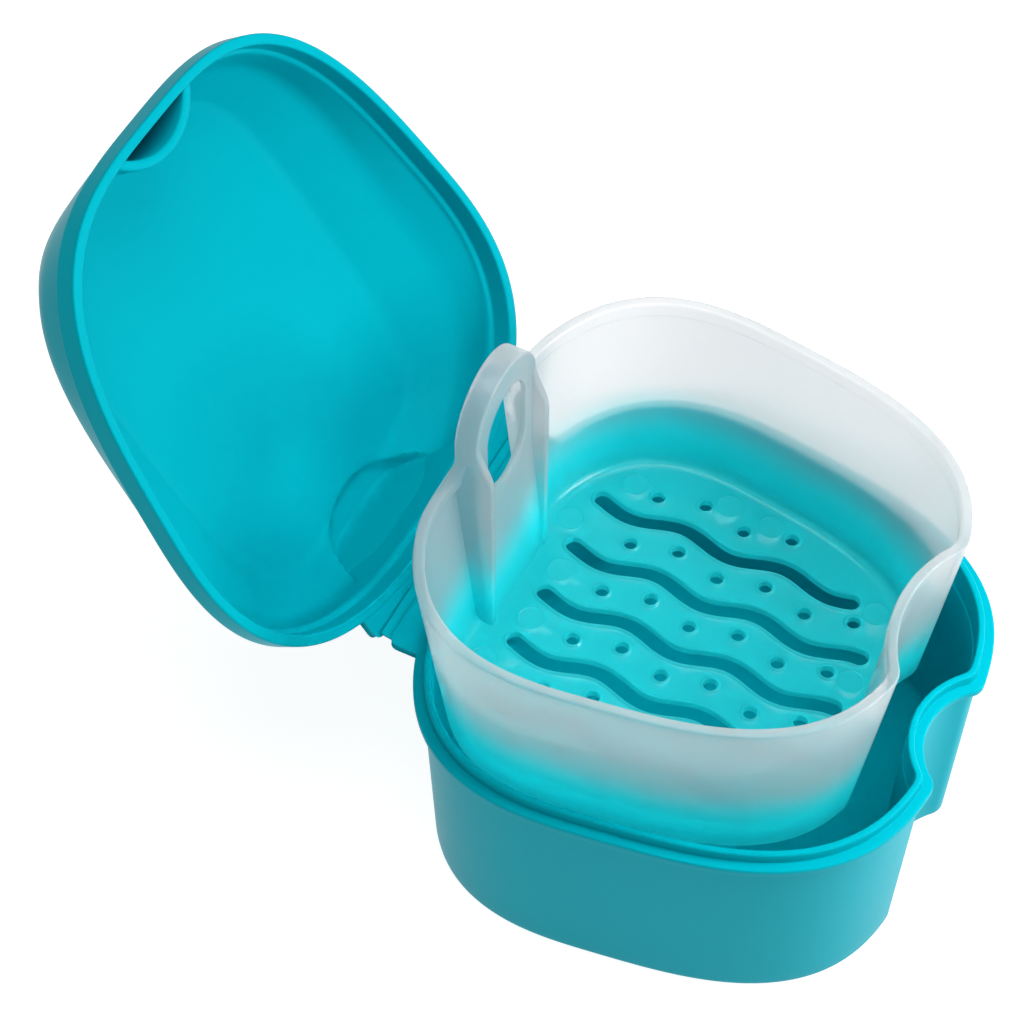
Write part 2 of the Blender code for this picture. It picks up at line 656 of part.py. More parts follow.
def build_drain_cutter(cutters, material, parent):
    """Every slot and hole of the basket's floor, as one cutter."""
    builder = bmesh.new()
    through = Vector((0.0, 0.0, BASKET_FLOOR + OVERRUN * 2))
    middle = (SLOT_COUNT - 1) / 2
    for row in range(SLOT_COUNT):
        front_inset = SLOT_OUTER_FRONT_INSET if row in (0, SLOT_COUNT - 1) else SLOT_FRONT_INSET
        outline = slot_outline((row - middle) * SLOT_PITCH - SLOT_SHIFT, front_inset - CASE_FRONT_REACH)
        extrude_flat(builder, [Vector((x, y, -BASKET_FLOOR - OVERRUN)) for x, y in outline], through)
    for row in range(SLOT_COUNT + 1):
        row_x = (row - middle - 1 / 2) * SLOT_PITCH
        outer = row in (0, SLOT_COUNT)
        for step in range(HOLES_IN_OUTER_ROW if outer else HOLES_IN_ROW):
            y = HOLE_BACK_REACH - step * HOLE_PITCH
            x = row_x + (WAVE_SWING if step % 2 else -WAVE_SWING)
            hole = bmesh.ops.create_cone(
                builder, cap_ends=True, segments=HOLE_SIDES, radius1=HOLE_DIAMETER / 2, radius2=HOLE_DIAMETER / 2,
                depth=BASKET_FLOOR + OVERRUN * 2)
            bmesh.ops.translate(builder, verts=hole["verts"], vec=Vector((x, y, -BASKET_FLOOR / 2)))
    return add_mesh("drain_pattern", builder, cutters, material, parent)


def build_basket(collection, cutters, material):
    """The strainer basket with its upright finger handle, raised out of the tub."""
    place = (0.0, BASKET_RAISED_SHIFT, BASKET_SEATED_FLOOR + BASKET_LIFT)
    lift = add_empty("basket_lift_axis", cutters, place, 0.0)
    loops = []
    for wall, height in basket_rings():
        limit = basket_back(height) - wall
        outline = notched_outline(CASE_PLAN, basket_inset(height) + wall, BASKET_NOTCH, limit)
        loops.append(raise_outline(outline, height))
    basket = loft("basket", loops, collection, material, lift)
    band = loft("handle_band", handle_band_loops(), cutters, material, lift)
    channel = loft("handle_channel", channel_loops(), cutters, material, lift)
    web = loft("handle_web", web_loops(), cutters, material, lift)
    shoulder_front = basket_back(BASKET_HEIGHT) - BASKET_RIM_BAND / 2 - SHOULDER_THICKNESS / 2
    shoulders = upright_solid(
        "handle_shoulders", [shoulder_outline(1), shoulder_outline(-1)], shoulder_front, SHOULDER_THICKNESS,
        cutters, material, lift)
    slot_hole = stadium_outline(FINGER_SLOT_HALF_WIDTH, FINGER_SLOT_FOOT, FINGER_SLOT_HEAD)
    slot = upright_solid(
        "finger_slot", [slot_hole], HANDLE_FRONT_REACH, HANDLE_BACK_REACH - HANDLE_FRONT_REACH + OVERRUN,
        cutters, material, lift)
    drain = build_drain_cutter(cutters, material, lift)
    boolean(basket, band, "UNION")
    boolean(basket, shoulders, "UNION")
    boolean(basket, channel, "DIFFERENCE")
    boolean(basket, web, "UNION")
    boolean(basket, slot, "DIFFERENCE")
    boolean(basket, drain, "DIFFERENCE")
    return basket


def main():
    """Build the whole case."""
    clear_scene()
    case = make_collection("denture_case")
    cutters = make_collection("cutters")
    teal = make_material("teal_plastic", (0.0, 0.42, 0.49), 0.32)
    frosted = make_material("frosted_plastic", (0.80, 0.86, 0.88), 0.38)
    build_tub(case, cutters, teal)
    build_hinge_web(case, teal)
    build_lid(case, cutters, teal)
    build_basket(case, cutters, frosted)


main()
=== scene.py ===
"""Looks of the denture bath case: a teal tub and domed lid on a living hinge, and a frosted strainer basket.

Everything is in metres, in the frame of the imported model: Z up, the finger scallop at -Y and the hinge at +Y.
"""

from __future__ import annotations

import logging
import math
from collections.abc import Callable, Sequence
from dataclasses import dataclass, field, replace
from enum import Enum

import bmesh
import bpy
import numpy as np
from mathutils import Matrix, Vector
from mathutils.geometry import delaunay_2d_cdt

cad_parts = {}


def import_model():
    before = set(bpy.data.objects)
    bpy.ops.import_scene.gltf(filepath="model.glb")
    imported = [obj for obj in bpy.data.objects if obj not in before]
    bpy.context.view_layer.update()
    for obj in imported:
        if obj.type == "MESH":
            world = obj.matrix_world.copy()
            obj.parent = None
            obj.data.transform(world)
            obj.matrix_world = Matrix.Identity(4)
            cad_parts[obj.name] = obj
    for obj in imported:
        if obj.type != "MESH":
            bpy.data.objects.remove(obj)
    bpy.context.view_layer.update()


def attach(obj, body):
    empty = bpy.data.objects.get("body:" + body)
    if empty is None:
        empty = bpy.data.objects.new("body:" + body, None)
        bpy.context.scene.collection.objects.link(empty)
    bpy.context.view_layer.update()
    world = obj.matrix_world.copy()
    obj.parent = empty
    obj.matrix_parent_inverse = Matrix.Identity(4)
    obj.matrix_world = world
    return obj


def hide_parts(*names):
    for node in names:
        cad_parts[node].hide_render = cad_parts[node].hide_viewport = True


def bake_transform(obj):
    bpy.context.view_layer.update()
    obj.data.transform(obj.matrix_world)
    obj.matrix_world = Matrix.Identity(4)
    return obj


LOG = logging.getLogger("denture_case")
MM = 0.001
WELD = 1e-6
BEVEL = 0.3

Loop = np.ndarray


class CaseBody(Enum):
    """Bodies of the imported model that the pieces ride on."""

    TUB = "tub_body"
    LID = "lid_body"
    BASKET = "basket_body"


class Side(Enum):
    """Left or right of the case, as the sign of X."""

    LEFT = -1
    RIGHT = 1


# Outlines


@dataclass(frozen=True)
class Plan:
    """A rounded-square outline seen from above, in millimetres, fuller at the front than at the back."""

    half_width: float
    front_reach: float
    back_reach: float
    front_power: float
    back_power: float
    widening: float = 0.0

    def drawn_in(self, wall: float) -> Plan:
        """The same outline drawn in by a wall on every side."""
        return replace(
            self,
            half_width=self.half_width - wall,
            front_reach=self.front_reach - wall,
            back_reach=self.back_reach - wall,
        )

    def points(self, angles: np.ndarray) -> Loop:
        """Points of the outline at polar angles about the middle.

        Args:
            angles: Angles in radians, anticlockwise from +X.

        Returns:
            One row of X and Y for each angle.
        """
        cosines, sines = np.cos(angles), np.sin(angles)
        behind = sines > 0.0
        reach = np.where(behind, self.back_reach, self.front_reach)
        power = np.where(behind, self.back_power, self.front_power)
        spans = np.abs(cosines / self.half_width) ** power + np.abs(sines / reach) ** power
        radius = spans ** (-1.0 / power)
        y = radius * sines
        x = radius * cosines * (1.0 + self.widening * y / self.half_width)
        return np.stack([x, y], axis=1)

    def as_row(self, height: float) -> np.ndarray:
        """The outline's numbers and a height as one row, so that rows can be blended."""
        return np.array([
            self.half_width, self.front_reach, self.back_reach,
            self.front_power, self.back_power, self.widening, height,
        ])


@dataclass(frozen=True)
class Notch:
    """A round bite out of the front of an outline, in millimetres."""

    centre_reach: float
    radius: float
    corner: float

    def crossing(self, plan: Plan, inset: float) -> float:
        """Polar angle where the right-hand side of the bite meets the outline.

        Args:
            plan: The outline, already drawn in.
            inset: How far it was drawn in, which widens the bite.

        Returns:
            The angle in radians.
        """
        low, high = -math.pi / 2, 0.0
        for _ in range(HALVINGS):
            middle = (low + high) / 2
            x, y = plan.points(np.array([middle]))[0]
            if math.hypot(x, y + self.centre_reach) < self.radius + inset:
                low = middle
            else:
                high = middle
        return (low + high) / 2


CASE_PLAN = Plan(46.0, 48.3, 44.6, 3.25, 2.55, 0.15)
TUB_NOTCH = Notch(55.6, 12.9, 1.6)
BASKET_NOTCH = Notch(63.4, 20.3, 2.0)

SIDE_POINTS = 260
BITE_POINTS = 44
CORNER_SPANS = 7
LID_POINTS = 320
WEB_POINTS = 160
SIDE_SAMPLES = 1601
BITE_SAMPLES = 401
LID_SAMPLES = 2401
LEAF_SAMPLES = 1201
HALVINGS = 44
BACK_EASE = 0.35
SKIN_SPAN = 3.0


def evenly_spaced(points: Loop, count: int, gap: float = 0.0) -> Loop:
    """Points at equal steps along a polyline.

    Args:
        points: The polyline, one row a point.
        count: How many points to place.
        gap: Length left out at each end.

    Returns:
        The new points.
    """
    steps = np.linalg.norm(np.diff(points, axis=0), axis=1)
    travel = np.concatenate([[0.0], np.cumsum(steps)])
    stations = np.linspace(gap, travel[-1] - gap, count)
    return np.stack([np.interp(stations, travel, points[:, axis]) for axis in range(points.shape[1])], axis=1)


def quadratic(
    before: np.ndarray, corner: np.ndarray, after: np.ndarray, steps: int, ends: bool,
) -> np.ndarray:
    """Points of the curve that rounds off a corner.

    Args:
        before: Where the curve leaves the first side.
        corner: The sharp corner.
        after: Where it joins the second side.
        steps: Number of spans.
        ends: Whether both end points are kept.

    Returns:
        One row a point.
    """
    shares = np.linspace(0.0, 1.0, steps + 1)[:, None]
    curve = (1 - shares) ** 2 * before + 2 * shares * (1 - shares) * corner + shares ** 2 * after
    return curve if ends else curve[1:-1]


def notched_loop(plan: Plan, inset: float, notch: Notch, back_limit: float = math.inf) -> Loop:
    """Closed outline with the finger bite at the front, anticlockwise from the bite's right-hand corner.

    Args:
        plan: The full outline.
        inset: How far to draw it in.
        notch: The bite.
        back_limit: Y that the outline's back is eased flat against.

    Returns:
        One row of X and Y for each point.
    """
    drawn = plan.drawn_in(inset)
    crossing = notch.crossing(drawn, inset)
    side = drawn.points(np.linspace(crossing, math.pi - crossing, SIDE_SAMPLES))
    right_corner, left_corner = side[0].copy(), side[-1].copy()
    if math.isfinite(back_limit):
        side[:, 1] = back_limit - BACK_EASE * np.logaddexp(0.0, (back_limit - side[:, 1]) / BACK_EASE)
    side = evenly_spaced(side, SIDE_POINTS, notch.corner)
    radius = notch.radius + inset
    swing = math.asin(right_corner[0] / radius)
    turns = np.linspace(-swing, swing, BITE_SAMPLES)
    arc = np.stack([radius * np.sin(turns), radius * np.cos(turns) - notch.centre_reach], axis=1)
    arc = evenly_spaced(arc, BITE_POINTS, notch.corner)
    left_round = quadratic(side[-1], left_corner, arc[0], CORNER_SPANS, False)
    right_round = quadratic(arc[-1], right_corner, side[0], CORNER_SPANS, False)
    return np.concatenate([side, left_round, arc, right_round])


def plain_loop(plan: Plan) -> Loop:
    """Closed outline without a bite, anticlockwise from the middle of the front."""
    dense = plan.points(np.linspace(-math.pi / 2, 3 * math.pi / 2, LID_SAMPLES))
    return evenly_spaced(dense, LID_POINTS + 1)[:-1]


def eased(share: float) -> float:
    """A share from 0 to 1 with a slow start and a slow end."""
    return share * share * (3.0 - 2.0 * share)


def at_height(loop: Loop, height: float | np.ndarray) -> Loop:
    """A plan loop as 3-D points."""
    return np.column_stack([loop, np.broadcast_to(height, len(loop))])


def rounded_path(
    rows: Sequence[Sequence[float]], radii: Sequence[float], span: float,
    steps: int = 6, measure: Callable[[np.ndarray], float] | None = None,
) -> np.ndarray:
    """A path through rows of numbers with its corners rounded and its long sides divided.

    Args:
        rows: The corners, one row of numbers each.
        radii: How far from each corner the rounding starts; 0 keeps it sharp.
        span: Longest side left undivided.
        steps: Spans in a rounded corner.
        measure: Length of a step between two rows; the plain length if left out.

    Returns:
        One row a point.
    """
    length = measure or (lambda step: float(np.linalg.norm(step)))
    corners = [np.asarray(row, float) for row in rows]
    path: list[np.ndarray] = [corners[0]]
    for before, corner, after, radius in zip(corners, corners[1:], corners[2:], radii[1:]):
        if radius <= 0.0:
            path.append(corner)
            continue
        back, ahead = before - corner, after - corner
        back_share = min(radius / length(back), 0.5)
        ahead_share = min(radius / length(ahead), 0.5)
        path.extend(quadratic(corner + back * back_share, corner, corner + ahead * ahead_share, steps, True))
    path.append(corners[-1])
    divided: list[np.ndarray] = [path[0]]
    for start, end in zip(path, path[1:]):
        parts = max(1, math.ceil(length(end - start) / span))
        divided.extend(start + (end - start) * part / parts for part in range(1, parts + 1))
    return np.array(divided)


# Meshes


@dataclass
class MeshMaker:
    """Gathers loops and faces in millimetres and turns them into one smooth-shaded object in metres."""

    name: str
    sharp_angle: float = 50.0
    builder: bmesh.types.BMesh = field(default_factory=bmesh.new)

    def verts(self, loop: Loop) -> list[bmesh.types.BMVert]:
        """Add a loop's points in millimetres and return their vertices."""
        return [self.builder.verts.new(Vector(point) * MM) for point in loop]

    def loft(self, loops: Sequence[Loop], cap_start: bool = False, cap_end: bool = False,
             round_trip: bool = False) -> None:
        """Skin equal closed loops of points with quads.

        Args:
            loops: The loops, in order.
            cap_start: Whether the first loop gets a flat face.
            cap_end: Whether the last loop gets one.
            round_trip: Whether the last loop joins back to the first.
        """
        rows = [self.verts(loop) for loop in loops]
        count = len(rows[0])
        pairs = list(zip(rows, rows[1:])) + ([(rows[-1], rows[0])] if round_trip else [])
        for lower, upper in pairs:
            for index in range(count):
                following = (index + 1) % count
                self.builder.faces.new((lower[index], lower[following], upper[following], upper[index]))
        if cap_start:
            self.builder.faces.new(list(reversed(rows[0])))
        if cap_end:
            self.builder.faces.new(rows[-1])

    def flat_sheet(self, boundary: Loop, holes: Sequence[Loop], height: float) -> None:
        """Fill a level outline around its holes.

        Args:
            boundary: The outer outline in X and Y.
            holes: Outlines that stay open.
            height: Z of the sheet.
        """
        rings = [boundary, *holes]
        points = [Vector(point[:2]) for ring in rings for point in ring]
        edges: list[tuple[int, int]] = []
        start = 0
        for ring in rings:
            edges += [(start + index, start + (index + 1) % len(ring)) for index in range(len(ring))]
            start += len(ring)
        places, _, faces, _, _, _ = delaunay_2d_cdt(points, edges, [], 0, 1e-7)
        outlines = [np.array(ring)[:, :2] for ring in holes]
        outer = np.array(boundary)[:, :2]
        made = [self.builder.verts.new(Vector((place.x, place.y, height)) * MM) for place in places]
        for face in faces:
            middle = np.mean([(places[index].x, places[index].y) for index in face], axis=0)
            if contains(outer, middle) and not any(contains(ring, middle) for ring in outlines):
                self.builder.faces.new([made[index] for index in face])

    def finish(self) -> bpy.types.Object:
        """Make the object, with its faces turned outwards and smooth apart from true edges.

        Returns:
            The object.
        """
        bmesh.ops.remove_doubles(self.builder, verts=self.builder.verts, dist=WELD)
        loose = [vert for vert in self.builder.verts if not vert.link_faces]
        bmesh.ops.delete(self.builder, geom=loose, context="VERTS")
        bmesh.ops.recalc_face_normals(self.builder, faces=self.builder.faces)
        mesh = bpy.data.meshes.new(self.name)
        self.builder.to_mesh(mesh)
        self.builder.free()
        mesh.shade_smooth()
        mesh.set_sharp_from_angle(angle=math.radians(self.sharp_angle))
        piece = bpy.data.objects.new(self.name, mesh)
        bpy.context.scene.collection.objects.link(piece)
        return piece


def lofted(name: str, loops: Sequence[Loop], ring: bool = False) -> bpy.types.Object:
    """One object skinned over equal closed loops.

    Args:
        name: Name of the piece.
        loops: The loops, in order.
        ring: Whether the skin joins back to its start instead of being capped.

    Returns:
        The object.
    """
    maker = MeshMaker(name)
    maker.loft(loops, cap_start=not ring, cap_end=not ring, round_trip=ring)
    return maker.finish()


def contains(outline: np.ndarray, point: np.ndarray) -> bool:
    """Whether a point lies inside a closed outline.

    Args:
        outline: The outline's points in X and Y.
        point: X and Y of the point.

    Returns:
        True inside.
    """
    low, high = outline.min(axis=0), outline.max(axis=0)
    if np.any(point < low) or np.any(point > high):
        return False
    ahead = np.roll(outline, -1, axis=0)
    crosses = (outline[:, 1] > point[1]) != (ahead[:, 1] > point[1])
    rise = np.where(crosses, ahead[:, 1] - outline[:, 1], 1.0)
    meet = outline[:, 0] + (point[1] - outline[:, 1]) * (ahead[:, 0] - outline[:, 0]) / rise
    return bool(np.count_nonzero(crosses & (point[0] < meet)) % 2)


def offset_loop(loop: Loop, distance: float) -> Loop:
    """A closed plan loop moved outwards along its own normals.

    Args:
        loop: Points in X and Y, anticlockwise.
        distance: How far out, in millimetres.

    Returns:
        The moved points.
    """
    along = np.roll(loop, -1, axis=0) - np.roll(loop, 1, axis=0)
    along /= np.linalg.norm(along, axis=1)[:, None]
    return loop + distance * np.column_stack([along[:, 1], -along[:, 0]])


def combine(target: bpy.types.Object, tool: bpy.types.Object, operation: str) -> None:
    """Join or cut one mesh with another for good, and remove the tool.

    Args:
        target: The mesh that is kept.
        tool: The mesh that is used up.
        operation: UNION or DIFFERENCE.
    """
    modifier = target.modifiers.new(tool.name, "BOOLEAN")
    modifier.operation = operation
    modifier.object = tool
    modifier.solver = "EXACT"
    graph = bpy.context.evaluated_depsgraph_get()
    made = bpy.data.meshes.new_from_object(target.evaluated_get(graph), depsgraph=graph)
    target.modifiers.clear()
    target.data = made
    bpy.data.objects.remove(tool, do_unlink=True)


# Finishes


class Value:
    """A node socket whose arithmetic adds Math nodes."""

    def __init__(self, sheet: NodeSheet, socket: bpy.types.NodeSocket) -> None:
        """Wrap a socket of a sheet."""
        self.sheet = sheet
        self.socket = socket

    def _math(self, operation: str, first: Value | float, second: Value | float) -> Value:
        """One Math node on two values."""
        return self.sheet.node("ShaderNodeMath", {"operation": operation}, {0: first, 1: second})

    def __add__(self, other: Value | float) -> Value:
        """Sum."""
        return self._math("ADD", self, other)

    def __radd__(self, other: float) -> Value:
        """Sum, with the number first."""
        return self._math("ADD", other, self)

    def __sub__(self, other: Value | float) -> Value:
        """Difference."""
        return self._math("SUBTRACT", self, other)

    def __rsub__(self, other: float) -> Value:
        """Difference, with the number first."""
        return self._math("SUBTRACT", other, self)

    def __mul__(self, other: Value | float) -> Value:
        """Product."""
        return self._math("MULTIPLY", self, other)

    def __rmul__(self, other: float) -> Value:
        """Product, with the number first."""
        return self._math("MULTIPLY", other, self)


Input = Value | float | tuple[float, ...]
Colour = tuple[float, float, float]
BLACK: Colour = (0.0, 0.0, 0.0)
GRAIN_DEPTH = 0.0001


class NodeSheet:
    """The node tree of one material."""

    def __init__(self, material: bpy.types.Material) -> None:
        """Clear the material's tree and start a new one.

        Args:
            material: The material.
        """
        material.use_nodes = True
        self.tree = material.node_tree
        self.tree.nodes.clear()

    def node(self, kind: str, settings: dict[str, object] | None = None,
             inputs: dict[int | str, Input] | None = None, output: int | str = 0) -> Value:
        """Add any node.

        Args:
            kind: The node's type name.
            settings: Its own properties, set first.
            inputs: Values or links, by socket.
            output: The socket that is handed back.

        Returns:
            The chosen output.
        """
        node = self.tree.nodes.new(kind)
        for name, value in (settings or {}).items():
            setattr(node, name, value)
        for name, value in (inputs or {}).items():
            if isinstance(value, Value):
                self.tree.links.new(value.socket, node.inputs[name])
            else:
                node.inputs[name].default_value = value
        return Value(self, node.outputs[output]) if node.outputs else Value(self, node.inputs[0])

    def noise(self, scale: float, detail: float, roughness: float = 0.5) -> Value:
        """Smooth noise over the object's own space.

        Args:
            scale: Cells in a metre.
            detail: Finer layers.
            roughness: Strength of the finer layers.

        Returns:
            The noise, about 0 to 1.
        """
        place = self.node("ShaderNodeTexCoord", output="Object")
        return self.node("ShaderNodeTexNoise", {"noise_dimensions": "3D"},
                         {"Vector": place, "Scale": scale, "Detail": detail, "Roughness": roughness})

    def grain(self, scale: float, strength: float) -> Value:
        """A fine bump like that of a moulded surface."""
        relief = self.noise(scale, 2.0, 0.6)
        return self.node("ShaderNodeBump", None,
                         {"Strength": strength, "Distance": GRAIN_DEPTH, "Height": relief})

    def mix(self, share: Value, first: Colour, second: Colour) -> Value:
        """A blend of two colours."""
        return self.node("ShaderNodeMix", {"data_type": "RGBA"},
                         {0: share, 6: (*first, 1.0), 7: (*second, 1.0)}, output=2)

    def rise(self, value: Value, low: float, high: float) -> Value:
        """0 up to one value and 1 from another, with a smooth way between."""
        return self.node("ShaderNodeMapRange", {"interpolation_type": "SMOOTHERSTEP"},
                         {"Value": value, "From Min": low, "From Max": high})


@dataclass(frozen=True)
class TealPolypropylene:
    """Opaque moulded polypropylene with a satin gloss and faint flow marks."""

    name: str = "teal_polypropylene"
    colour: Colour = (0.0, 0.345, 0.420)
    deep_colour: Colour = (0.0, 0.320, 0.395)
    gloss_tint: Colour = (0.12, 0.9, 1.0)
    roughness: float = 0.36
    roughness_swing: float = 0.06
    roughness_scale: float = 160.0
    flow_scale: float = 38.0
    grain_scale: float = 2600.0
    grain_strength: float = 0.035
    refraction: float = 1.49
    specular: float = 0.04

    def make(self) -> bpy.types.Material:
        """Build the material.

        Returns:
            The material.
        """
        material = bpy.data.materials.new(self.name)
        sheet = NodeSheet(material)
        wander = sheet.noise(self.roughness_scale, 3.0) - 0.5
        shader = sheet.node("ShaderNodeBsdfPrincipled", None, {
            "Base Color": sheet.mix(sheet.noise(self.flow_scale, 2.0), self.deep_colour, self.colour),
            "Roughness": self.roughness + self.roughness_swing * wander,
            "IOR": self.refraction,
            "Specular IOR Level": self.specular,
            "Specular Tint": (*self.gloss_tint, 1.0),
            "Normal": sheet.grain(self.grain_scale, self.grain_strength),
        })
        sheet.node("ShaderNodeOutputMaterial", None, {"Surface": shader})
        return material


@dataclass(frozen=True)
class FrostedPolypropylene:
    """Natural polypropylene that blurs what lies behind it; the teal at its foot is painted light, the tub's
    teal light painted into its colour.

    A faint glow at the foot of the walls stands in for the light that the tub throws into them.
    """

    foot_height: float
    name: str = "frosted_polypropylene"
    colour: Colour = (0.77, 0.75, 0.76)
    # Teal painted into the foot of the basket as painted light from the tub; the plastic itself is natural
    # white.
    painted_teal_light: Colour = (0.035, 0.95, 0.98)
    glow_colour: Colour = (0.0, 0.90, 0.96)
    glow: float = 0.14
    glow_rise: tuple[float, float] = (-0.006, 0.006)
    # Heights over which the painted teal light fades into the plastic's own colour, and how unevenly.
    painted_light_band: tuple[float, float] = (0.004, 0.021)
    painted_light_wander: float = 0.003
    painted_light_scale: float = 60.0
    roughness: float = 0.38
    roughness_swing: float = 0.05
    roughness_scale: float = 120.0
    grain_scale: float = 1900.0
    grain_strength: float = 0.03
    refraction: float = 1.20
    transmission: float = 0.72
    cover: float = 0.66
    gloss: float = 0.5
    gloss_roughness: float = 0.14

    def make(self) -> bpy.types.Material:
        """Build the material.

        Returns:
            The material.
        """
        material = bpy.data.materials.new(self.name)
        sheet = NodeSheet(material)
        place = sheet.node("ShaderNodeTexCoord", output="Object")
        height = sheet.node("ShaderNodeSeparateXYZ", None, {0: place}, output=2)
        # Mask of the painted teal light: teal painted in near the floor, the plastic's own colour above.
        uneven = height + (sheet.noise(self.painted_light_scale, 1.0) - 0.5) * self.painted_light_wander
        above = sheet.rise(uneven, *[self.foot_height + step for step in self.painted_light_band])
        wall = sheet.rise(height, *[self.foot_height + step for step in self.glow_rise])
        wander = sheet.noise(self.roughness_scale, 3.0) - 0.5
        shader = sheet.node("ShaderNodeBsdfPrincipled", None, {
            # Painted teal light at the foot, the plastic's own colour above it.
            "Base Color": sheet.mix(above, self.painted_teal_light, self.colour),
            "Roughness": self.roughness + self.roughness_swing * wander,
            "IOR": self.refraction,
            "Transmission Weight": self.transmission,
            "Alpha": self.cover,
            "Coat Weight": self.gloss,
            "Coat Roughness": self.gloss_roughness,
            "Emission Color": sheet.mix(wall * (1.0 - above), BLACK, self.glow_colour),
            "Emission Strength": self.glow,
            "Normal": sheet.grain(self.grain_scale, self.grain_strength),
        })
        sheet.node("ShaderNodeOutputMaterial", None, {"Surface": shader})
        return material


# Tub


@dataclass
class Tub:
    """The lower moulding, with its flange, inner lip and hinge leaf."""

    flange_underside: float = 42.6
    flange_top: float = 44.1
    flange_overhang: float = 1.4
    wall_foot_inset: float = 2.7
    lip_inset: float = 1.7
    lip_top: float = 46.2
    lip_thickness: float = 1.2
    band_foot: float = 40.2
    inner_foot_inset: float = 4.2
    floor_height: float = 1.8
    draft: float = 0.05
    band_step: tuple[float, float] = (0.3, 0.35)
    floor_reach: float = 6.0
    finish: TealPolypropylene = field(default_factory=TealPolypropylene)

    def profile(self) -> np.ndarray:
        """Profile of the skin, from under the floor, over the rim and down to the floor.

        Returns:
            Inset and height of each point.
        """
        lip_inner = self.lip_inset + self.lip_thickness
        step_in, step_down = self.band_step
        rows = [
            (self.wall_foot_inset + self.floor_reach, 0.0),
            (self.wall_foot_inset, 0.0),
            (self.flange_overhang, self.flange_underside),
            (0.0, self.flange_underside),
            (0.0, self.flange_top),
            (self.lip_inset, self.flange_top),
            (self.lip_inset + self.draft, self.lip_top),
            (lip_inner, self.lip_top),
            (lip_inner + self.draft, self.band_foot),
            (lip_inner + step_in, self.band_foot - step_down),
            (self.inner_foot_inset, self.floor_height),
            (self.inner_foot_inset + self.floor_reach, self.floor_height),
        ]
        radii = [0, 1.3, 0.25, 0.3, 0.4, 0.25, 0.45, 0.45, 0.2, 0.2, 2.6, 0]
        return rounded_path(rows, radii, SKIN_SPAN)

    def shell(self) -> bpy.types.Object:
        """Build the moulding without its leaf."""
        loops = [
            at_height(notched_loop(CASE_PLAN, inset, TUB_NOTCH), height) for inset, height in self.profile()
        ]
        return lofted("tub_shell", loops)

    def dress(self) -> list[bpy.types.Object]:
        """Build the tub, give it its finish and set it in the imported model.

        Returns:
            The pieces made.
        """
        material = self.finish.make()
        shell = self.shell()
        shell.data.materials.append(material)
        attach(shell, CaseBody.TUB.value)
        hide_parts("tub")
        return [shell]


# Hinge and lid


@dataclass(frozen=True)
class HingeLine:
    """Where the lid turns, in millimetres."""

    reach: float = 47.2
    height: float = 43.35
    half_length: float = 26.3
    leaf_end: float = 46.4
    angle: float = math.radians(124.0)

    def opened(self, points: Loop) -> Loop:
        """Turn points of the closed lid about the hinge to where the lid stands open.

        Args:
            points: Points in millimetres, with the lid closed.

        Returns:
            The turned points.
        """
        y, z = points[:, 1] - self.reach, points[:, 2] - self.height
        cosine, sine = math.cos(self.angle), math.sin(self.angle)
        turned_y = self.reach + y * cosine + z * sine
        turned_z = self.height - y * sine + z * cosine
        return np.column_stack([points[:, 0], turned_y, turned_z])


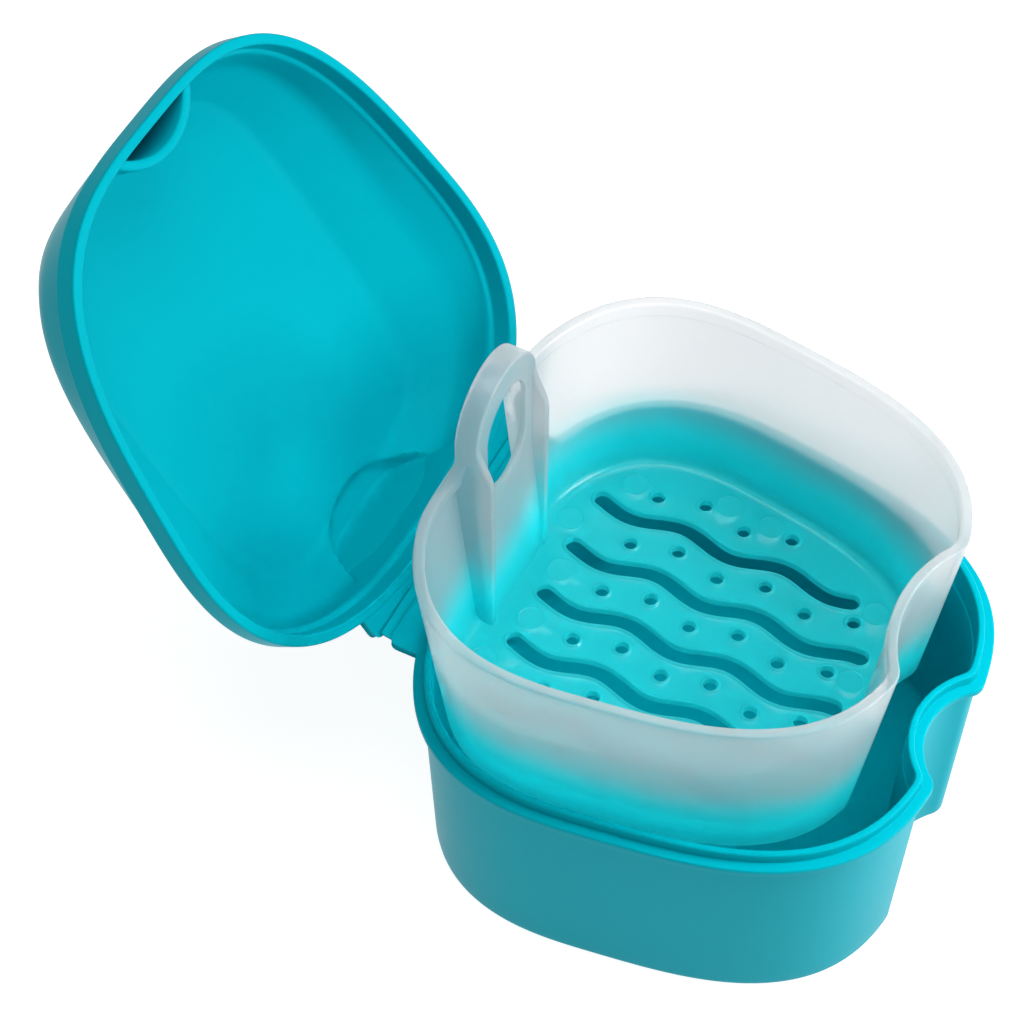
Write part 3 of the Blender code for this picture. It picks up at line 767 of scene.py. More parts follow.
@dataclass
class HingeLeaves:
    """The two leaves and the thin flexed web between them."""

    line: HingeLine
    thickness: float = 1.5
    end_round: float = 1.5
    edge: float = 0.35
    tub_root_inset: float = 0.8
    lid_root_inset: float = 0.6
    tub_clearance: float = 0.05
    lid_clearance: float = 0.1
    web_thickness: float = 0.5
    web_lap: float = 0.5
    web_end_gap: float = 0.8
    web_rise: float = 0.9
    web_bow: tuple[float, float] = (0.35, 0.25)
    blend_reach: float = 0.9
    finish: TealPolypropylene = field(default_factory=TealPolypropylene)

    def leaf(self, name: str, low: float, root_inset: float, opened: bool) -> bpy.types.Object:
        """One leaf: a slab with rounded ends that grows out of the rim.

        Args:
            name: Name of the piece.
            low: Height of its underside with the case closed.
            root_inset: How far inside the rim's outline it starts.
            opened: Whether it stands with the open lid.

        Returns:
            The leaf.
        """
        half, end, turn = self.line.half_length, self.line.leaf_end, self.end_round
        angles = np.linspace(0.05, math.pi - 0.05, LEAF_SAMPLES)
        curve = CASE_PLAN.drawn_in(root_inset).points(angles)
        root = evenly_spaced(curve[np.abs(curve[:, 0]) < half], 60)
        corners = [
            root[-1], np.array([-half, end - turn]), np.array([-half, end]), np.array([turn - half, end]),
            np.array([half - turn, end]), np.array([half, end]), np.array([half, end - turn]),
        ]
        tail = np.concatenate([
            quadratic(corners[1], corners[2], corners[3], 6, True),
            quadratic(corners[4], corners[5], corners[6], 6, True),
        ])
        outline = np.concatenate([root, tail])[::-1]
        edge = self.edge
        rows = [(edge, 0.0), (edge * BEVEL, edge * BEVEL), (0.0, edge), (0.0, self.thickness - edge),
                (edge * BEVEL, self.thickness - edge * BEVEL), (edge, self.thickness)]
        loops = []
        for inset, height in rows:
            loop = at_height(offset_loop(outline, inset), low + height)
            loops.append(self.line.opened(loop) if opened else loop)
        return lofted(name, loops)

    def web(self) -> bpy.types.Object:
        """The thin web, drawn from one leaf round the axis to the other.

        Returns:
            The web.
        """
        half = self.line.half_length - self.web_end_gap
        root = self.line.leaf_end - self.web_lap
        start = np.array([root, self.line.height])
        end = self.line.opened(np.array([[0.0, root, self.line.height + self.web_rise]]))[0, 1:]
        axis = np.array([self.line.reach + self.web_bow[0], self.line.height + self.web_bow[1]])
        path = quadratic(start, axis, end, 14, True)
        along = np.gradient(path, axis=0)
        along /= np.linalg.norm(along, axis=1)[:, None]
        normal = np.column_stack([-along[:, 1], along[:, 0]]) * self.web_thickness / 2
        section = np.concatenate([path + normal, (path - normal)[::-1]])
        stations = np.linspace(-half, half, 12)
        loops = [np.column_stack([np.full(len(section), x), section]) for x in stations]
        return lofted("hinge_crease", loops)

    def dress(self, tub: Tub, lid_rim: float) -> list[bpy.types.Object]:
        """Build both leaves and the web.

        Args:
            tub: The tub, whose flange carries the lower leaf.
            lid_rim: Height of the lid's rim when closed.

        Returns:
            The pieces made.
        """
        material = self.finish.make()
        lower = self.leaf("tub_leaf", tub.flange_underside + self.tub_clearance, self.tub_root_inset, False)
        upper = self.leaf("lid_leaf", lid_rim + self.lid_clearance, self.lid_root_inset, True)
        web = self.web()
        for piece in (lower, upper, web):
            piece.data.materials.append(material)
        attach(lower, CaseBody.TUB.value)
        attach(upper, CaseBody.LID.value)
        closed = np.array([[0.0, self.line.reach - self.blend_reach, self.line.height]])
        end = self.line.opened(closed)[0] * MM
        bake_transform(web)
        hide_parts("hinge_web")
        return [lower, upper, web]


@dataclass
class Lid:
    """The upper moulding: skirt, dome, boss over the handle and the wall behind the finger scallop."""

    line: HingeLine
    rim_height: float = 44.4
    overhang: float = 0.5
    skirt_height: float = 4.3
    skirt_wall: float = 1.8
    draft: float = 0.02
    step_in: float = 0.42
    step_rise: float = 0.35
    inner_step: tuple[tuple[float, float], ...] = ((0.12, -0.5), (0.8, -0.1), (1.0, 0.7))
    knee: Plan = Plan(41.3, 45.2, 43.8, 3.4, 3.2, 0.05)
    knee_height: float = 11.3
    top: Plan = Plan(30.6, 41.4, 38.4, 4.0, 4.6, 0.0)
    top_height: float = 18.7
    cap_reach: float = 12.0
    dome_wall: float = 1.5
    dome_span: float = 0.7
    boss_half_width: float = 13.2
    boss_front: float = 32.2
    boss_back: float = 42.4
    boss_rise: float = 1.4
    boss_slope: float = 1.7
    boss_back_steepness: float = 3.5
    boss_ease: float = 0.9
    boss_nose_share: float = 0.62
    boss_blend: float = 0.22
    boss_floor: float = 1.5
    boss_settling: float = 3.0
    pocket_wall: float = 1.8
    pocket_edge: float = 0.5
    pocket_foot: float = 0.2
    finish: TealPolypropylene = field(default_factory=TealPolypropylene)

    def sections(self) -> tuple[np.ndarray, np.ndarray]:
        """Sections of the outer and the inner skin, from the rim upwards.

        Returns:
            Rows of plan numbers and height for the outer skin, and for the inner one.
        """
        skirt = CASE_PLAN.drawn_in(-self.overhang)
        inner_skirt = CASE_PLAN.drawn_in(self.skirt_wall - self.overhang)
        wall = self.dome_wall
        outer = [
            inner_skirt.drawn_in(-self.skirt_wall / 2).as_row(0.0),
            skirt.as_row(0.0),
            skirt.drawn_in(self.draft).as_row(self.skirt_height),
            skirt.drawn_in(self.step_in).as_row(self.skirt_height + self.step_rise),
            self.knee.as_row(self.knee_height),
            self.top.as_row(self.top_height),
            self.top.drawn_in(self.cap_reach).as_row(self.top_height),
        ]
        outer_radii = [0, 0.45, 0.25, 0.15, 2.8, 3.0, 0]
        inner = [
            inner_skirt.drawn_in(-self.skirt_wall / 2).as_row(0.0),
            inner_skirt.as_row(0.0),
            *[inner_skirt.drawn_in(inset).as_row(self.skirt_height + up) for inset, up in self.inner_step],
            self.knee.drawn_in(wall).as_row(self.knee_height - 1.0),
            self.top.drawn_in(wall).as_row(self.top_height - wall),
            self.top.drawn_in(self.cap_reach).as_row(self.top_height - wall),
        ]
        inner_radii = [0, 0.45, 0.25, 0.3, 0.5, 2.0, 1.6, 0]

        def measure(step: np.ndarray) -> float:
            """Length of a step in half width and height alone."""
            return float(math.hypot(step[0], step[6])) + 1e-9

        return (
            rounded_path(outer, outer_radii, self.dome_span, 8, measure),
            rounded_path(inner, inner_radii, self.dome_span, 8, measure),
        )

    def boss_height(self, x: np.ndarray, y: np.ndarray, wall: float) -> np.ndarray:
        """Height of the boss's face over each place, falling away steeply outside its outline.

        Args:
            x: Places across the lid.
            y: Places along it, with the lid closed.
            wall: How far the face lies inside the boss's outer face.

        Returns:
            Heights above the closed rim.
        """
        half = self.boss_half_width - wall
        front, back = self.boss_front + wall, self.boss_back - wall
        nose = half * self.boss_nose_share
        middle = front + nose
        from_nose = np.hypot(x, (y - middle) * half / nose) - half
        beside = np.abs(x) - half
        outside = np.maximum(np.where(y < middle, from_nose, beside), (y - back) * self.boss_back_steepness)
        slope, ease = self.boss_slope, self.boss_ease
        ceiling = self.top_height + self.boss_rise - wall
        return ceiling - slope * ease * np.logaddexp(0.0, (outside + ease) / ease)

    def with_boss(self, loop: Loop, height: float, wall: float) -> Loop:
        """A loop of the dome, raised where the boss stands over it.

        Args:
            loop: The loop in X and Y.
            height: Its height above the closed rim.
            wall: How far its skin lies inside the outer one.

        Returns:
            The loop as 3-D points above the closed rim.
        """
        if height < self.skirt_height + self.boss_floor:
            return at_height(loop, height)
        boss = self.boss_height(loop[:, 0], loop[:, 1], wall)
        ease = self.boss_blend
        raised = ease * np.logaddexp(height / ease, boss / ease)
        settled = ease * np.logaddexp(height / ease, (height - self.boss_settling) / ease)
        return at_height(loop, height + np.maximum(raised - settled, 0.0))

    def skin(self) -> bpy.types.Object:
        """Build the dome and skirt as one closed shell, standing open.

        Returns:
            The shell.
        """
        outer_rows, inner_rows = self.sections()
        shift = np.array([0.0, 0.0, self.rim_height])
        stack = [(row, self.dome_wall) for row in inner_rows[::-1]] + [(row, 0.0) for row in outer_rows[1:]]
        loops = [self.with_boss(plain_loop(Plan(*row[:6])), row[6], wall) for row, wall in stack]
        return lofted("lid_shell", [self.line.opened(loop + shift) for loop in loops])

    def middle_height(self, x: float, y: float) -> float:
        """Height above the closed rim at which a place meets the middle of the dome's wall.

        Args:
            x: The place across the lid.
            y: The place along it, with the lid closed.

        Returns:
            The height, or 0 where the place lies outside the skirt.
        """
        middle = self.dome_wall / 2
        rows = [
            CASE_PLAN.drawn_in(self.skirt_wall / 2 - self.overhang).as_row(self.skirt_height),
            self.knee.drawn_in(middle).as_row(self.knee_height - middle),
            self.top.drawn_in(middle).as_row(self.top_height - middle),
        ]
        rows.insert(0, rows[0] - np.array([0.0] * 6 + [self.skirt_height]))
        angle = math.atan2(y, x)
        reached = 0.0
        for low, high in zip(rows, rows[1:]):
            for share in np.linspace(0.0, 1.0, 60):
                row = low + (high - low) * share
                edge = Plan(*row[:6]).points(np.array([angle]))[0]
                if math.hypot(*edge) < math.hypot(x, y):
                    return reached
                reached = float(row[6])
        return reached

    def scallop_wall(self) -> bpy.types.Object:
        """The curved wall inside the lid that closes the tub's finger scallop.

        Returns:
            The wall.
        """
        inner_radius = TUB_NOTCH.radius - self.overhang
        outer_radius = inner_radius + self.pocket_wall
        edge, foot = self.pocket_edge, self.pocket_foot

        def place(radius: float, turn: float) -> tuple[float, float]:
            """X and Y of a point round the middle of the scallop."""
            return radius * math.sin(turn), radius * math.cos(turn) - TUB_NOTCH.centre_reach

        swing = math.pi / 2
        while self.middle_height(*place(outer_radius, swing)) <= 0.0:
            swing -= 0.01
        loops = []
        for turn in np.linspace(-swing, swing, 48):
            inner_top = max(self.middle_height(*place(inner_radius, turn)), edge * 2)
            outer_top = max(self.middle_height(*place(outer_radius, turn)), edge * 2)
            rows = [
                (inner_radius, inner_top), (inner_radius, foot + edge),
                (inner_radius + edge * BEVEL, foot + edge * BEVEL), (inner_radius + edge, foot),
                (outer_radius - edge, foot), (outer_radius - edge * BEVEL, foot + edge * BEVEL),
                (outer_radius, foot + edge), (outer_radius, outer_top),
            ]
            loop = np.array([(*place(radius, turn), self.rim_height + height) for radius, height in rows])
            loops.append(self.line.opened(loop))
        return lofted("lid_scallop_wall", loops)

    def dress(self) -> list[bpy.types.Object]:
        """Build the lid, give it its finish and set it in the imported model.

        Returns:
            The pieces made.
        """
        material = self.finish.make()
        shell, wall = self.skin(), self.scallop_wall()
        for piece in (shell, wall):
            piece.data.materials.append(material)
            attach(piece, CaseBody.LID.value)
        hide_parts("lid")
        return [shell, wall]


# Basket


BASKET_SHIFT = (0.0, 3.9, 36.5)


@dataclass
class Basket:
    """The frosted strainer basket with its upright finger handle, in its own frame above its floor."""

    shift: tuple[float, float, float] = BASKET_SHIFT
    height: float = 39.0
    rim_inset: float = 3.8
    floor_inset: float = 7.8
    back_flat: float = 1.7
    wall: float = 1.25
    floor: float = 1.3
    rim_band: float = 1.8
    rim_band_height: float = 2.6
    band_step: float = 0.5
    underside_reach: float = 3.0
    floor_reach: float = 4.0
    handle_half_width: float = 10.8
    handle_height: float = 57.0
    handle_front: float = 30.7
    handle_back: float = 37.6
    rib_head: float = 38.0
    rib_fade: float = 9.5
    band_thickness: float = 1.5
    web_front_foot: float = 31.0
    web_front_top: float = 33.3
    web_thickness: float = 1.1
    slot_half_width: float = 6.8
    slot_foot: float = 29.3
    slot_head: float = 51.2
    shoulder_radius: float = 5.6
    drain_pitch: float = 11.67
    drain_width: float = 3.2
    drain_back: float = 25.7
    drain_front: float = 29.4
    outer_drain_front: float = 23.4
    drain_shift: float = 0.5
    slot_rows: int = 5
    hole_rows: int = 6
    holes_in_row: int = 6
    holes_in_outer_row: int = 4
    wave_length: float = 19.6
    wave_swing: float = 1.1
    hole_diameter: float = 2.4
    hole_pitch: float = 8.5
    hole_back: float = 16.9
    lip_width: float = 0.5
    lip_height: float = 0.32
    lip_flare: float = 0.22
    drain_chamfer: float = 0.12
    mark_section: tuple[tuple[float, float], ...] = ((2.43, 0.0), (2.36, 0.06), (2.29, 0.0), (2.15, 0.0))
    band_edge: float = 0.42
    band_sunk: float = 0.15
    web_edge: float = 0.3
    shoulder_edge: float = 0.5
    shoulder_sunk: float = 0.04
    shoulder_depth: float = 3.4
    shoulder_rim_sunk: float = 0.2
    shoulder_swell: float = 0.6
    channel_share: float = 0.75
    channel_ease: float = 0.05
    cut_below: float = 4.0
    cut_above: float = 2.0
    cut_behind: float = 6.0
    sharp_angle: float = 42.0
    finish: FrostedPolypropylene = field(default_factory=lambda: FrostedPolypropylene(BASKET_SHIFT[2] * MM))

    def inset(self, height: float) -> float:
        """How far the outer wall lies inside the case's outline."""
        return self.floor_inset + (self.rim_inset - self.floor_inset) * height / self.height

    def back(self, height: float) -> float:
        """Y of the outer wall's flat back."""
        return CASE_PLAN.back_reach - self.inset(height) - self.back_flat

    def loop(self, wall: float, height: float) -> Loop:
        """Outline of the basket's skin at a height, a wall's depth inside its outer face."""
        outline = notched_loop(CASE_PLAN, self.inset(height) + wall, BASKET_NOTCH, self.back(height) - wall)
        return at_height(outline, height)

    def skin_profile(self) -> np.ndarray:
        """Profile of the skin from its underside, over the rim and down to its floor.

        Returns:
            Depth behind the outer face and height of each point.
        """
        band_foot = self.height - self.rim_band_height
        rows = [
            (self.underside_reach, -self.floor), (0.0, -self.floor), (0.0, self.height),
            (self.rim_band, self.height), (self.rim_band, band_foot), (self.wall, band_foot - self.band_step),
            (self.wall, 0.0), (self.wall + self.floor_reach, 0.0),
        ]
        radii = [0, 0.9, 0.5, 0.5, 0.3, 0.3, 2.4, 0]
        return rounded_path(rows, radii, SKIN_SPAN)[:-1]

    def wave(self, y: np.ndarray | float) -> np.ndarray | float:
        """Sideways swing of the drain pattern."""
        return -self.wave_swing * np.cos(2 * math.pi * np.asarray(y) / self.wave_length)

    def slot_loop(self, row_x: float, front: float, grow: float) -> Loop:
        """Outline of one wavy drain slot, anticlockwise.

        Args:
            row_x: Its place across the floor.
            front: Y where its straight part ends.
            grow: How far outside its own edge.

        Returns:
            Points in X and Y.
        """
        half = self.drain_width / 2 + grow
        depths = np.linspace(self.drain_back, front, 84)
        middle = np.column_stack([row_x + self.wave(depths), depths])
        along = np.gradient(middle, axis=0)
        along /= np.linalg.norm(along, axis=1)[:, None]
        normal = np.column_stack([-along[:, 1], along[:, 0]])
        left, right = middle - normal * half, (middle + normal * half)[::-1]
        turns = np.linspace(0.0, math.pi, 13)[1:-1, None]
        front_end = middle[-1] - normal[-1] * half * np.cos(turns) + along[-1] * half * np.sin(turns)
        back_end = middle[0] + normal[0] * half * np.cos(turns) - along[0] * half * np.sin(turns)
        outline = np.concatenate([left, front_end, right, back_end])
        area = np.sum(outline[:, 0] * np.roll(outline[:, 1], -1) - np.roll(outline[:, 0], -1) * outline[:, 1])
        return outline if area > 0 else outline[::-1]

    def hole_loop(self, centre: tuple[float, float], grow: float) -> Loop:
        """Outline of one round drain hole, anticlockwise.

        Args:
            centre: Its middle in X and Y.
            grow: How far outside its own edge.

        Returns:
            Points in X and Y.
        """
        turns = np.linspace(0.0, 2 * math.pi, 33)[:-1]
        radius = self.hole_diameter / 2 + grow
        return np.column_stack([centre[0] + radius * np.cos(turns), centre[1] + radius * np.sin(turns)])

    def drains(self) -> list[Callable[[float], Loop]]:
        """Makers of the drains' outlines.

        Returns:
            For each slot and hole, a function from how far outside its edge to its outline.
        """
        made: list[Callable[[float], Loop]] = []
        for row in range(self.slot_rows):
            row_x = (row - (self.slot_rows - 1) / 2) * self.drain_pitch - self.drain_shift
            front = -self.outer_drain_front if row in (0, self.slot_rows - 1) else -self.drain_front
            made.append(lambda grow, row_x=row_x, front=front: self.slot_loop(row_x, front, grow))
        for row in range(self.hole_rows):
            row_x = (row - (self.hole_rows - 1) / 2) * self.drain_pitch
            outermost = row in (0, self.hole_rows - 1)
            for step in range(self.holes_in_outer_row if outermost else self.holes_in_row):
                x = row_x + (self.wave_swing if step % 2 else -self.wave_swing)
                centre = (x, self.hole_back - step * self.hole_pitch)
                made.append(lambda grow, centre=centre: self.hole_loop(centre, grow))
        return made

    def ejector_marks(self) -> list[tuple[float, float]]:
        """Places of the round marks that the mould's ejector pins leave on the floor."""
        return [(-17.5, 29.0), (-6.2, 25.5), (5.6, 25.5), (16.6, 29.0), (29.1, 21.8), (32.2, 4.5),
                (31.4, -4.2), (22.2, -28.4), (7.0, -30.0)]

    def shell(self) -> bpy.types.Object:
        """Build the walls and the drained floor as one closed moulding.

        Returns:
            The moulding, without its handle.
        """
        maker = MeshMaker("basket_shell", self.sharp_angle)
        loops = [self.loop(wall, height) for wall, height in self.skin_profile()]
        maker.loft(loops)
        lip, rise, flare, chamfer = self.lip_width, self.lip_height, self.lip_flare, self.drain_chamfer
        top_holes, bottom_holes = [], []
        for outline in self.drains():
            rows = [
                (lip + flare, 0.0), (lip + 0.08, 0.04), (lip - 0.05, rise * 0.6), (lip - 0.2, rise * 0.95),
                (lip * 0.45, rise), (chamfer, rise * 0.95), (0.02, rise * 0.55), (0.0, 0.0),
                (0.0, -self.floor * 0.5), (0.0, -self.floor + 0.15), (chamfer, -self.floor),
            ]
            maker.loft([at_height(outline(grow), height) for grow, height in rows])
            top_holes.append(outline(lip + flare))
            bottom_holes.append(outline(chamfer))
        turns = np.linspace(0.0, 2 * math.pi, 41)[:-1]
        circle = np.column_stack([np.cos(turns), np.sin(turns)])
        for centre in self.ejector_marks():
            mark = [at_height(circle * radius + centre, height) for radius, height in self.mark_section]
            maker.loft(mark, cap_end=True)
            top_holes.append(circle * self.mark_section[0][0] + centre)
        maker.flat_sheet(loops[-1][:, :2], top_holes, 0.0)
        maker.flat_sheet(loops[0][:, :2], bottom_holes, -self.floor)
        return maker.finish()

    def band_back(self, height: float) -> float:
        """Back edge of the handle's band at a height."""
        return min(self.back(height) - self.band_sunk, self.handle_back)

    def band_front(self, height: float) -> float:
        """Front edge of the handle's band at a height: ribs below the rim, flush with the web above it."""
        share = min(max((height - self.rib_head) / self.rib_fade, 0.0), 1.0)
        return self.handle_front + (self.web_front_top - self.handle_front) * eased(share)

    def band(self) -> bpy.types.Object:
        """The band that runs up one leg of the handle, over its arch and down the other leg.

        Returns:
            The band.
        """
        turn_height = self.handle_height - self.handle_half_width
        legs = list(np.linspace(-self.floor * 0.5, turn_height, 48)[:-1])
        path = [(math.pi, height) for height in legs]
        path += [(turn, turn_height) for turn in np.linspace(math.pi, 0.0, 49)]
        path += [(0.0, height) for height in reversed(legs)]
        edge = self.band_edge
        loops = []
        for turn, height in path:
            outer_z = height + self.handle_half_width * math.sin(turn)
            front, back = self.band_front(outer_z), self.band_back(outer_z)
            corners = [(1.0, front), (0.0, front), (0.0, back), (1.0, back)]
            ring: list[tuple[float, float, float]] = []
            for index, (depth, y) in enumerate(corners):
                before, after = corners[index - 1], corners[(index + 1) % 4]
                here = np.array([depth * self.band_thickness, y])
                start = here + edge * np.sign(np.array([before[0] * self.band_thickness, before[1]]) - here)
                end = here + edge * np.sign(np.array([after[0] * self.band_thickness, after[1]]) - here)
                for into, across in quadratic(start, here, end, 4, True):
                    reach = self.handle_half_width - into
                    ring.append((reach * math.cos(turn), across, height + reach * math.sin(turn)))
            loops.append(np.array(ring))
        return lofted("handle_band", loops)

    def web_front(self, height: float | np.ndarray) -> np.ndarray:
        """Y of the web's front face, which leans back up to the finger slot."""
        share = np.clip(np.asarray(height) / self.slot_foot, 0.0, 1.0)
        return self.web_front_foot + (self.web_front_top - self.web_front_foot) * share

    def stadium(self, grow: float) -> Loop:
        """Outline of the finger slot, anticlockwise from its right-hand side.

        Args:
            grow: How far outside its own edge.

        Returns:
            Points in X and Z.
        """
        half = self.slot_half_width + grow
        low, high = self.slot_foot + self.slot_half_width, self.slot_head - self.slot_half_width
        head, foot = np.linspace(0.0, math.pi, 60), np.linspace(math.pi, 2 * math.pi, 60)
        outline = [(half * math.cos(turn), high + half * math.sin(turn)) for turn in head]
        outline += [(half * math.cos(turn), low + half * math.sin(turn)) for turn in foot]
        outline.append(outline[0])
        return evenly_spaced(np.array(outline), WEB_POINTS + 1)[:-1]

    def web_outline(self) -> Loop:
        """Outline of the web, matched point by point with the slot's.

        Returns:
            Points in X and Z.
        """
        half = self.handle_half_width - self.band_thickness / 2
        turn_height = self.handle_height - self.handle_half_width
        slot = self.stadium(0.0)
        middle = np.array([0.0, (self.slot_foot + self.slot_head) / 2])
        outline = []
        for x, z in slot:
            direction = np.array([x, z]) - middle
            direction /= np.linalg.norm(direction)
            reach = half / max(abs(direction[0]), 1e-6)
            if direction[1] < 0:
                reach = min(reach, (middle[1] + self.floor * 0.5) / -direction[1])
            place = middle + direction * reach
            if place[1] > turn_height:
                offset = middle - np.array([0.0, turn_height])
                along = float(offset @ direction)
                reach = -along + math.sqrt(along * along - float(offset @ offset) + half * half)
                place = middle + direction * reach
            outline.append(place)
        return np.array(outline)

    def web(self) -> bpy.types.Object:
        """The web between the legs, with the finger slot through it.

        Returns:
            The web.
        """
        outline = self.web_outline()
        edge, thickness = self.web_edge, self.web_thickness
        loops: list[Loop] = []

        def add(flat: Loop, depth: float) -> None:
            """Lay a loop of X and Z at a depth behind the web's front face."""
            loops.append(np.column_stack([flat[:, 0], self.web_front(flat[:, 1]) + depth, flat[:, 1]]))

        inner = self.stadium(edge)
        shares = np.linspace(1.0, 0.0, 9)
        for share in shares:
            add(inner + (outline - inner) * share, 0.0)
        for grow, depth in ((edge * BEVEL, edge * BEVEL), (0.0, edge), (0.0, thickness - edge),
                            (edge * BEVEL, thickness - edge * BEVEL)):
            add(self.stadium(grow), depth)
        for share in shares[::-1]:
            add(inner + (outline - inner) * share, thickness)
        return lofted("handle_web", loops, ring=True)

    def channel(self) -> bpy.types.Object:
        """The open space behind the web, between the legs.

        Returns:
            The block that is cut out.
        """
        half = self.handle_half_width - self.band_thickness + self.channel_ease
        heights = (-self.floor - self.cut_below, 0.0, self.slot_foot, self.height + self.cut_above)
        behind = self.handle_back + self.cut_behind
        loops = []
        for height in heights:
            front = float(self.web_front(height)) + self.web_thickness * self.channel_share
            loops.append(np.array([
                (half, front, height), (half, behind, height),
                (-half, behind, height), (-half, front, height),
            ]))
        return lofted("channel", loops)

    def shoulder(self, side: Side) -> bpy.types.Object:
        """The fillet between the rim and one leg of the handle.

        Args:
            side: Which leg.

        Returns:
            The fillet.
        """
        radius = self.shoulder_radius
        leg = self.handle_half_width
        centre = np.array([leg + radius, self.height + radius])
        rim_back = self.back(self.height) - self.shoulder_rim_sunk
        edge, sunk, inside = self.shoulder_edge, self.shoulder_sunk, self.shoulder_depth
        loops = []
        for share in np.linspace(0.0, 1.0, 20):
            turn = share * math.pi / 2
            direction = np.array([-math.cos(turn), -math.sin(turn)])
            ease = eased(share)
            back_y = self.handle_back - sunk + (rim_back - self.handle_back + sunk) * ease
            front_y = back_y - self.rim_band - self.shoulder_swell * (1.0 - ease)
            ring = []
            for depth, y in (
                (inside, front_y), (edge, front_y), (edge * BEVEL, front_y + edge * BEVEL),
                (0.0, front_y + edge), (0.0, back_y - edge), (edge * BEVEL, back_y - edge * BEVEL),
                (edge, back_y), (inside, back_y),
            ):
                place = centre + direction * (radius + depth + sunk)
                place[0] = max(place[0], leg - self.band_thickness * 0.6)
                place[1] = max(place[1], self.height - self.rim_band_height * 0.8)
                ring.append((side.value * place[0], y, place[1]))
            loops.append(np.array(ring))
        return lofted(f"handle_shoulder_{side.name.lower()}", loops)

    def dress(self) -> list[bpy.types.Object]:
        """Build the basket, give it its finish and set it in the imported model.

        Returns:
            The pieces made.
        """
        basket = self.shell()
        combine(basket, self.band(), "UNION")
        for side in Side:
            combine(basket, self.shoulder(side), "UNION")
        combine(basket, self.channel(), "DIFFERENCE")
        combine(basket, self.web(), "UNION")
        basket.data.transform(Matrix.Translation(Vector(self.shift) * MM))
        basket.data.shade_smooth()
        basket.data.set_sharp_from_angle(angle=math.radians(self.sharp_angle))
        basket.data.materials.clear()
        basket.data.materials.append(self.finish.make())
        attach(basket, CaseBody.BASKET.value)
        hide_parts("basket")
        return [basket]


# Studio


@dataclass(frozen=True)
class SoftLight:
    """One large studio lamp."""

    name: str
    place: tuple[float, float, float]
    aim: tuple[float, float, float]
    size: float
    power: float

    def place_it(self) -> None:
        """Add the lamp to the scene."""
        lamp = bpy.data.lights.new(self.name, "AREA")
        lamp.shape = "DISK"
        lamp.size = self.size
        lamp.energy = self.power
        holder = bpy.data.objects.new(self.name, lamp)
        holder.location = self.place
        holder.rotation_mode = "QUATERNION"
        holder.rotation_quaternion = (Vector(self.aim) - Vector(self.place)).to_track_quat("-Z", "Y")
        bpy.context.scene.collection.objects.link(holder)


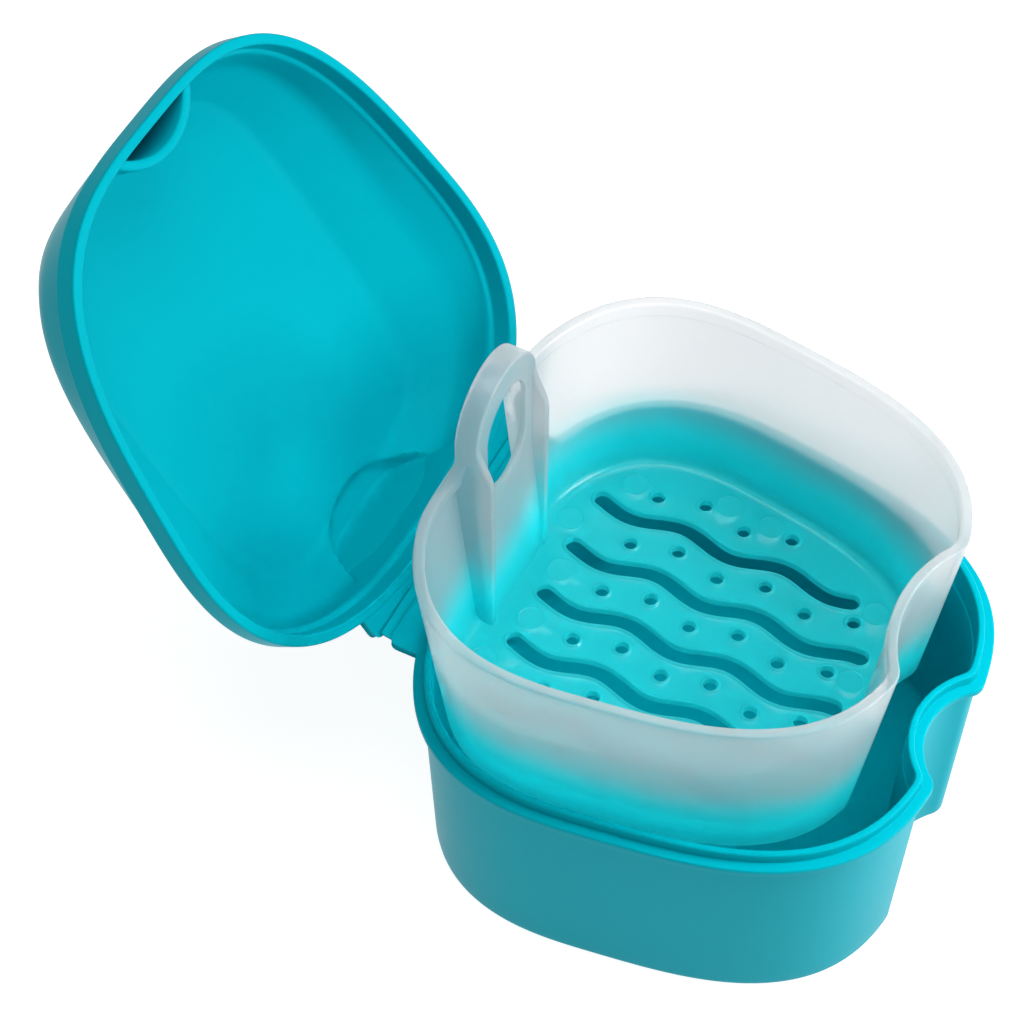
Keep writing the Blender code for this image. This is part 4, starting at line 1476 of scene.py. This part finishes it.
@dataclass
class Studio:
    """Camera, floor and lights."""

    azimuth: float = math.radians(-62.95)
    elevation: float = math.radians(52.87)
    distance: float = 0.44373
    target: tuple[float, float, float] = (-0.03152, 0.02021, 0.10278)
    focal_share: float = 2908.19 / 1024.0
    sensor: float = 36.0
    floor_glow: float = 0.9
    floor_grey: float = 0.28
    floor_roughness: float = 0.9
    floor_radius: float = 6.0
    floor_drop: float = 0.0001
    sky_colour: Colour = (0.86, 0.93, 1.0)
    sky_strength: float = 0.17
    lights: tuple[SoftLight, ...] = (
        SoftLight("top_light", (0.0, 0.0, 1.0), (0.0, 0.02, 0.0), 0.8, 6.2),
        SoftLight("left_light", (-0.55, -0.50, 0.60), (0.0, 0.02, 0.05), 0.45, 0.7),
        SoftLight("lid_light", (0.05, -0.19, 0.21), (-0.02, 0.06, 0.06), 0.14, 0.9),
    )

    def camera(self) -> None:
        """Place the camera where the photograph was taken from."""
        turn, rise = self.azimuth, self.elevation
        back = Vector((math.sin(turn) * math.cos(rise), -math.cos(turn) * math.cos(rise), math.sin(rise)))
        data = bpy.data.cameras.new("photo_camera")
        data.sensor_width = self.sensor
        data.lens = self.focal_share * self.sensor
        data.clip_start, data.clip_end = 0.01, 10.0
        camera = bpy.data.objects.new("photo_camera", data)
        camera.rotation_mode = "QUATERNION"
        camera.location = Vector(self.target) + back * self.distance
        camera.rotation_quaternion = (-back).to_track_quat("-Z", "Y")
        bpy.context.scene.collection.objects.link(camera)
        bpy.context.scene.camera = camera

    def floor(self) -> None:
        """Lay a plain, faintly glowing floor under the case."""
        builder = bmesh.new()
        bmesh.ops.create_circle(builder, cap_ends=True, segments=96, radius=self.floor_radius)
        mesh = bpy.data.meshes.new("studio_floor")
        builder.to_mesh(mesh)
        builder.free()
        material = bpy.data.materials.new("floor_paper")
        sheet = NodeSheet(material)
        shader = sheet.node("ShaderNodeBsdfPrincipled", None, {
            "Base Color": (*[self.floor_grey] * 3, 1.0), "Roughness": self.floor_roughness,
            "Emission Color": (1.0, 1.0, 1.0, 1.0), "Emission Strength": self.floor_glow,
        })
        sheet.node("ShaderNodeOutputMaterial", None, {"Surface": shader})
        mesh.materials.append(material)
        floor = bpy.data.objects.new("studio_floor", mesh)
        floor.location = (0.0, 0.0, -self.floor_drop)
        bpy.context.scene.collection.objects.link(floor)

    def sky(self) -> None:
        """Give the room a faint, even surround."""
        world = bpy.data.worlds.new("white_room")
        bpy.context.scene.world = world
        world.use_nodes = True
        background = world.node_tree.nodes["Background"]
        background.inputs["Color"].default_value = (*self.sky_colour, 1.0)
        background.inputs["Strength"].default_value = self.sky_strength

    def build(self) -> None:
        """Set up the whole studio."""
        self.camera()
        self.floor()
        self.sky()
        for light in self.lights:
            light.place_it()
        bpy.context.scene.view_settings.view_transform = "Standard"


def main() -> None:
    """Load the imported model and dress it."""
    logging.basicConfig(level=logging.INFO, format="%(name)s: %(message)s")
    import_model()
    Studio().build()
    line = HingeLine()
    tub, lid = Tub(), Lid(line)
    pieces = tub.dress()
    pieces += lid.dress()
    pieces += HingeLeaves(line).dress(tub, lid.rim_height)
    pieces += Basket().dress()
    for piece in pieces:
        LOG.info("%s: %d faces", piece.name, len(piece.data.polygons))


if __name__ == "__main__":
    main()
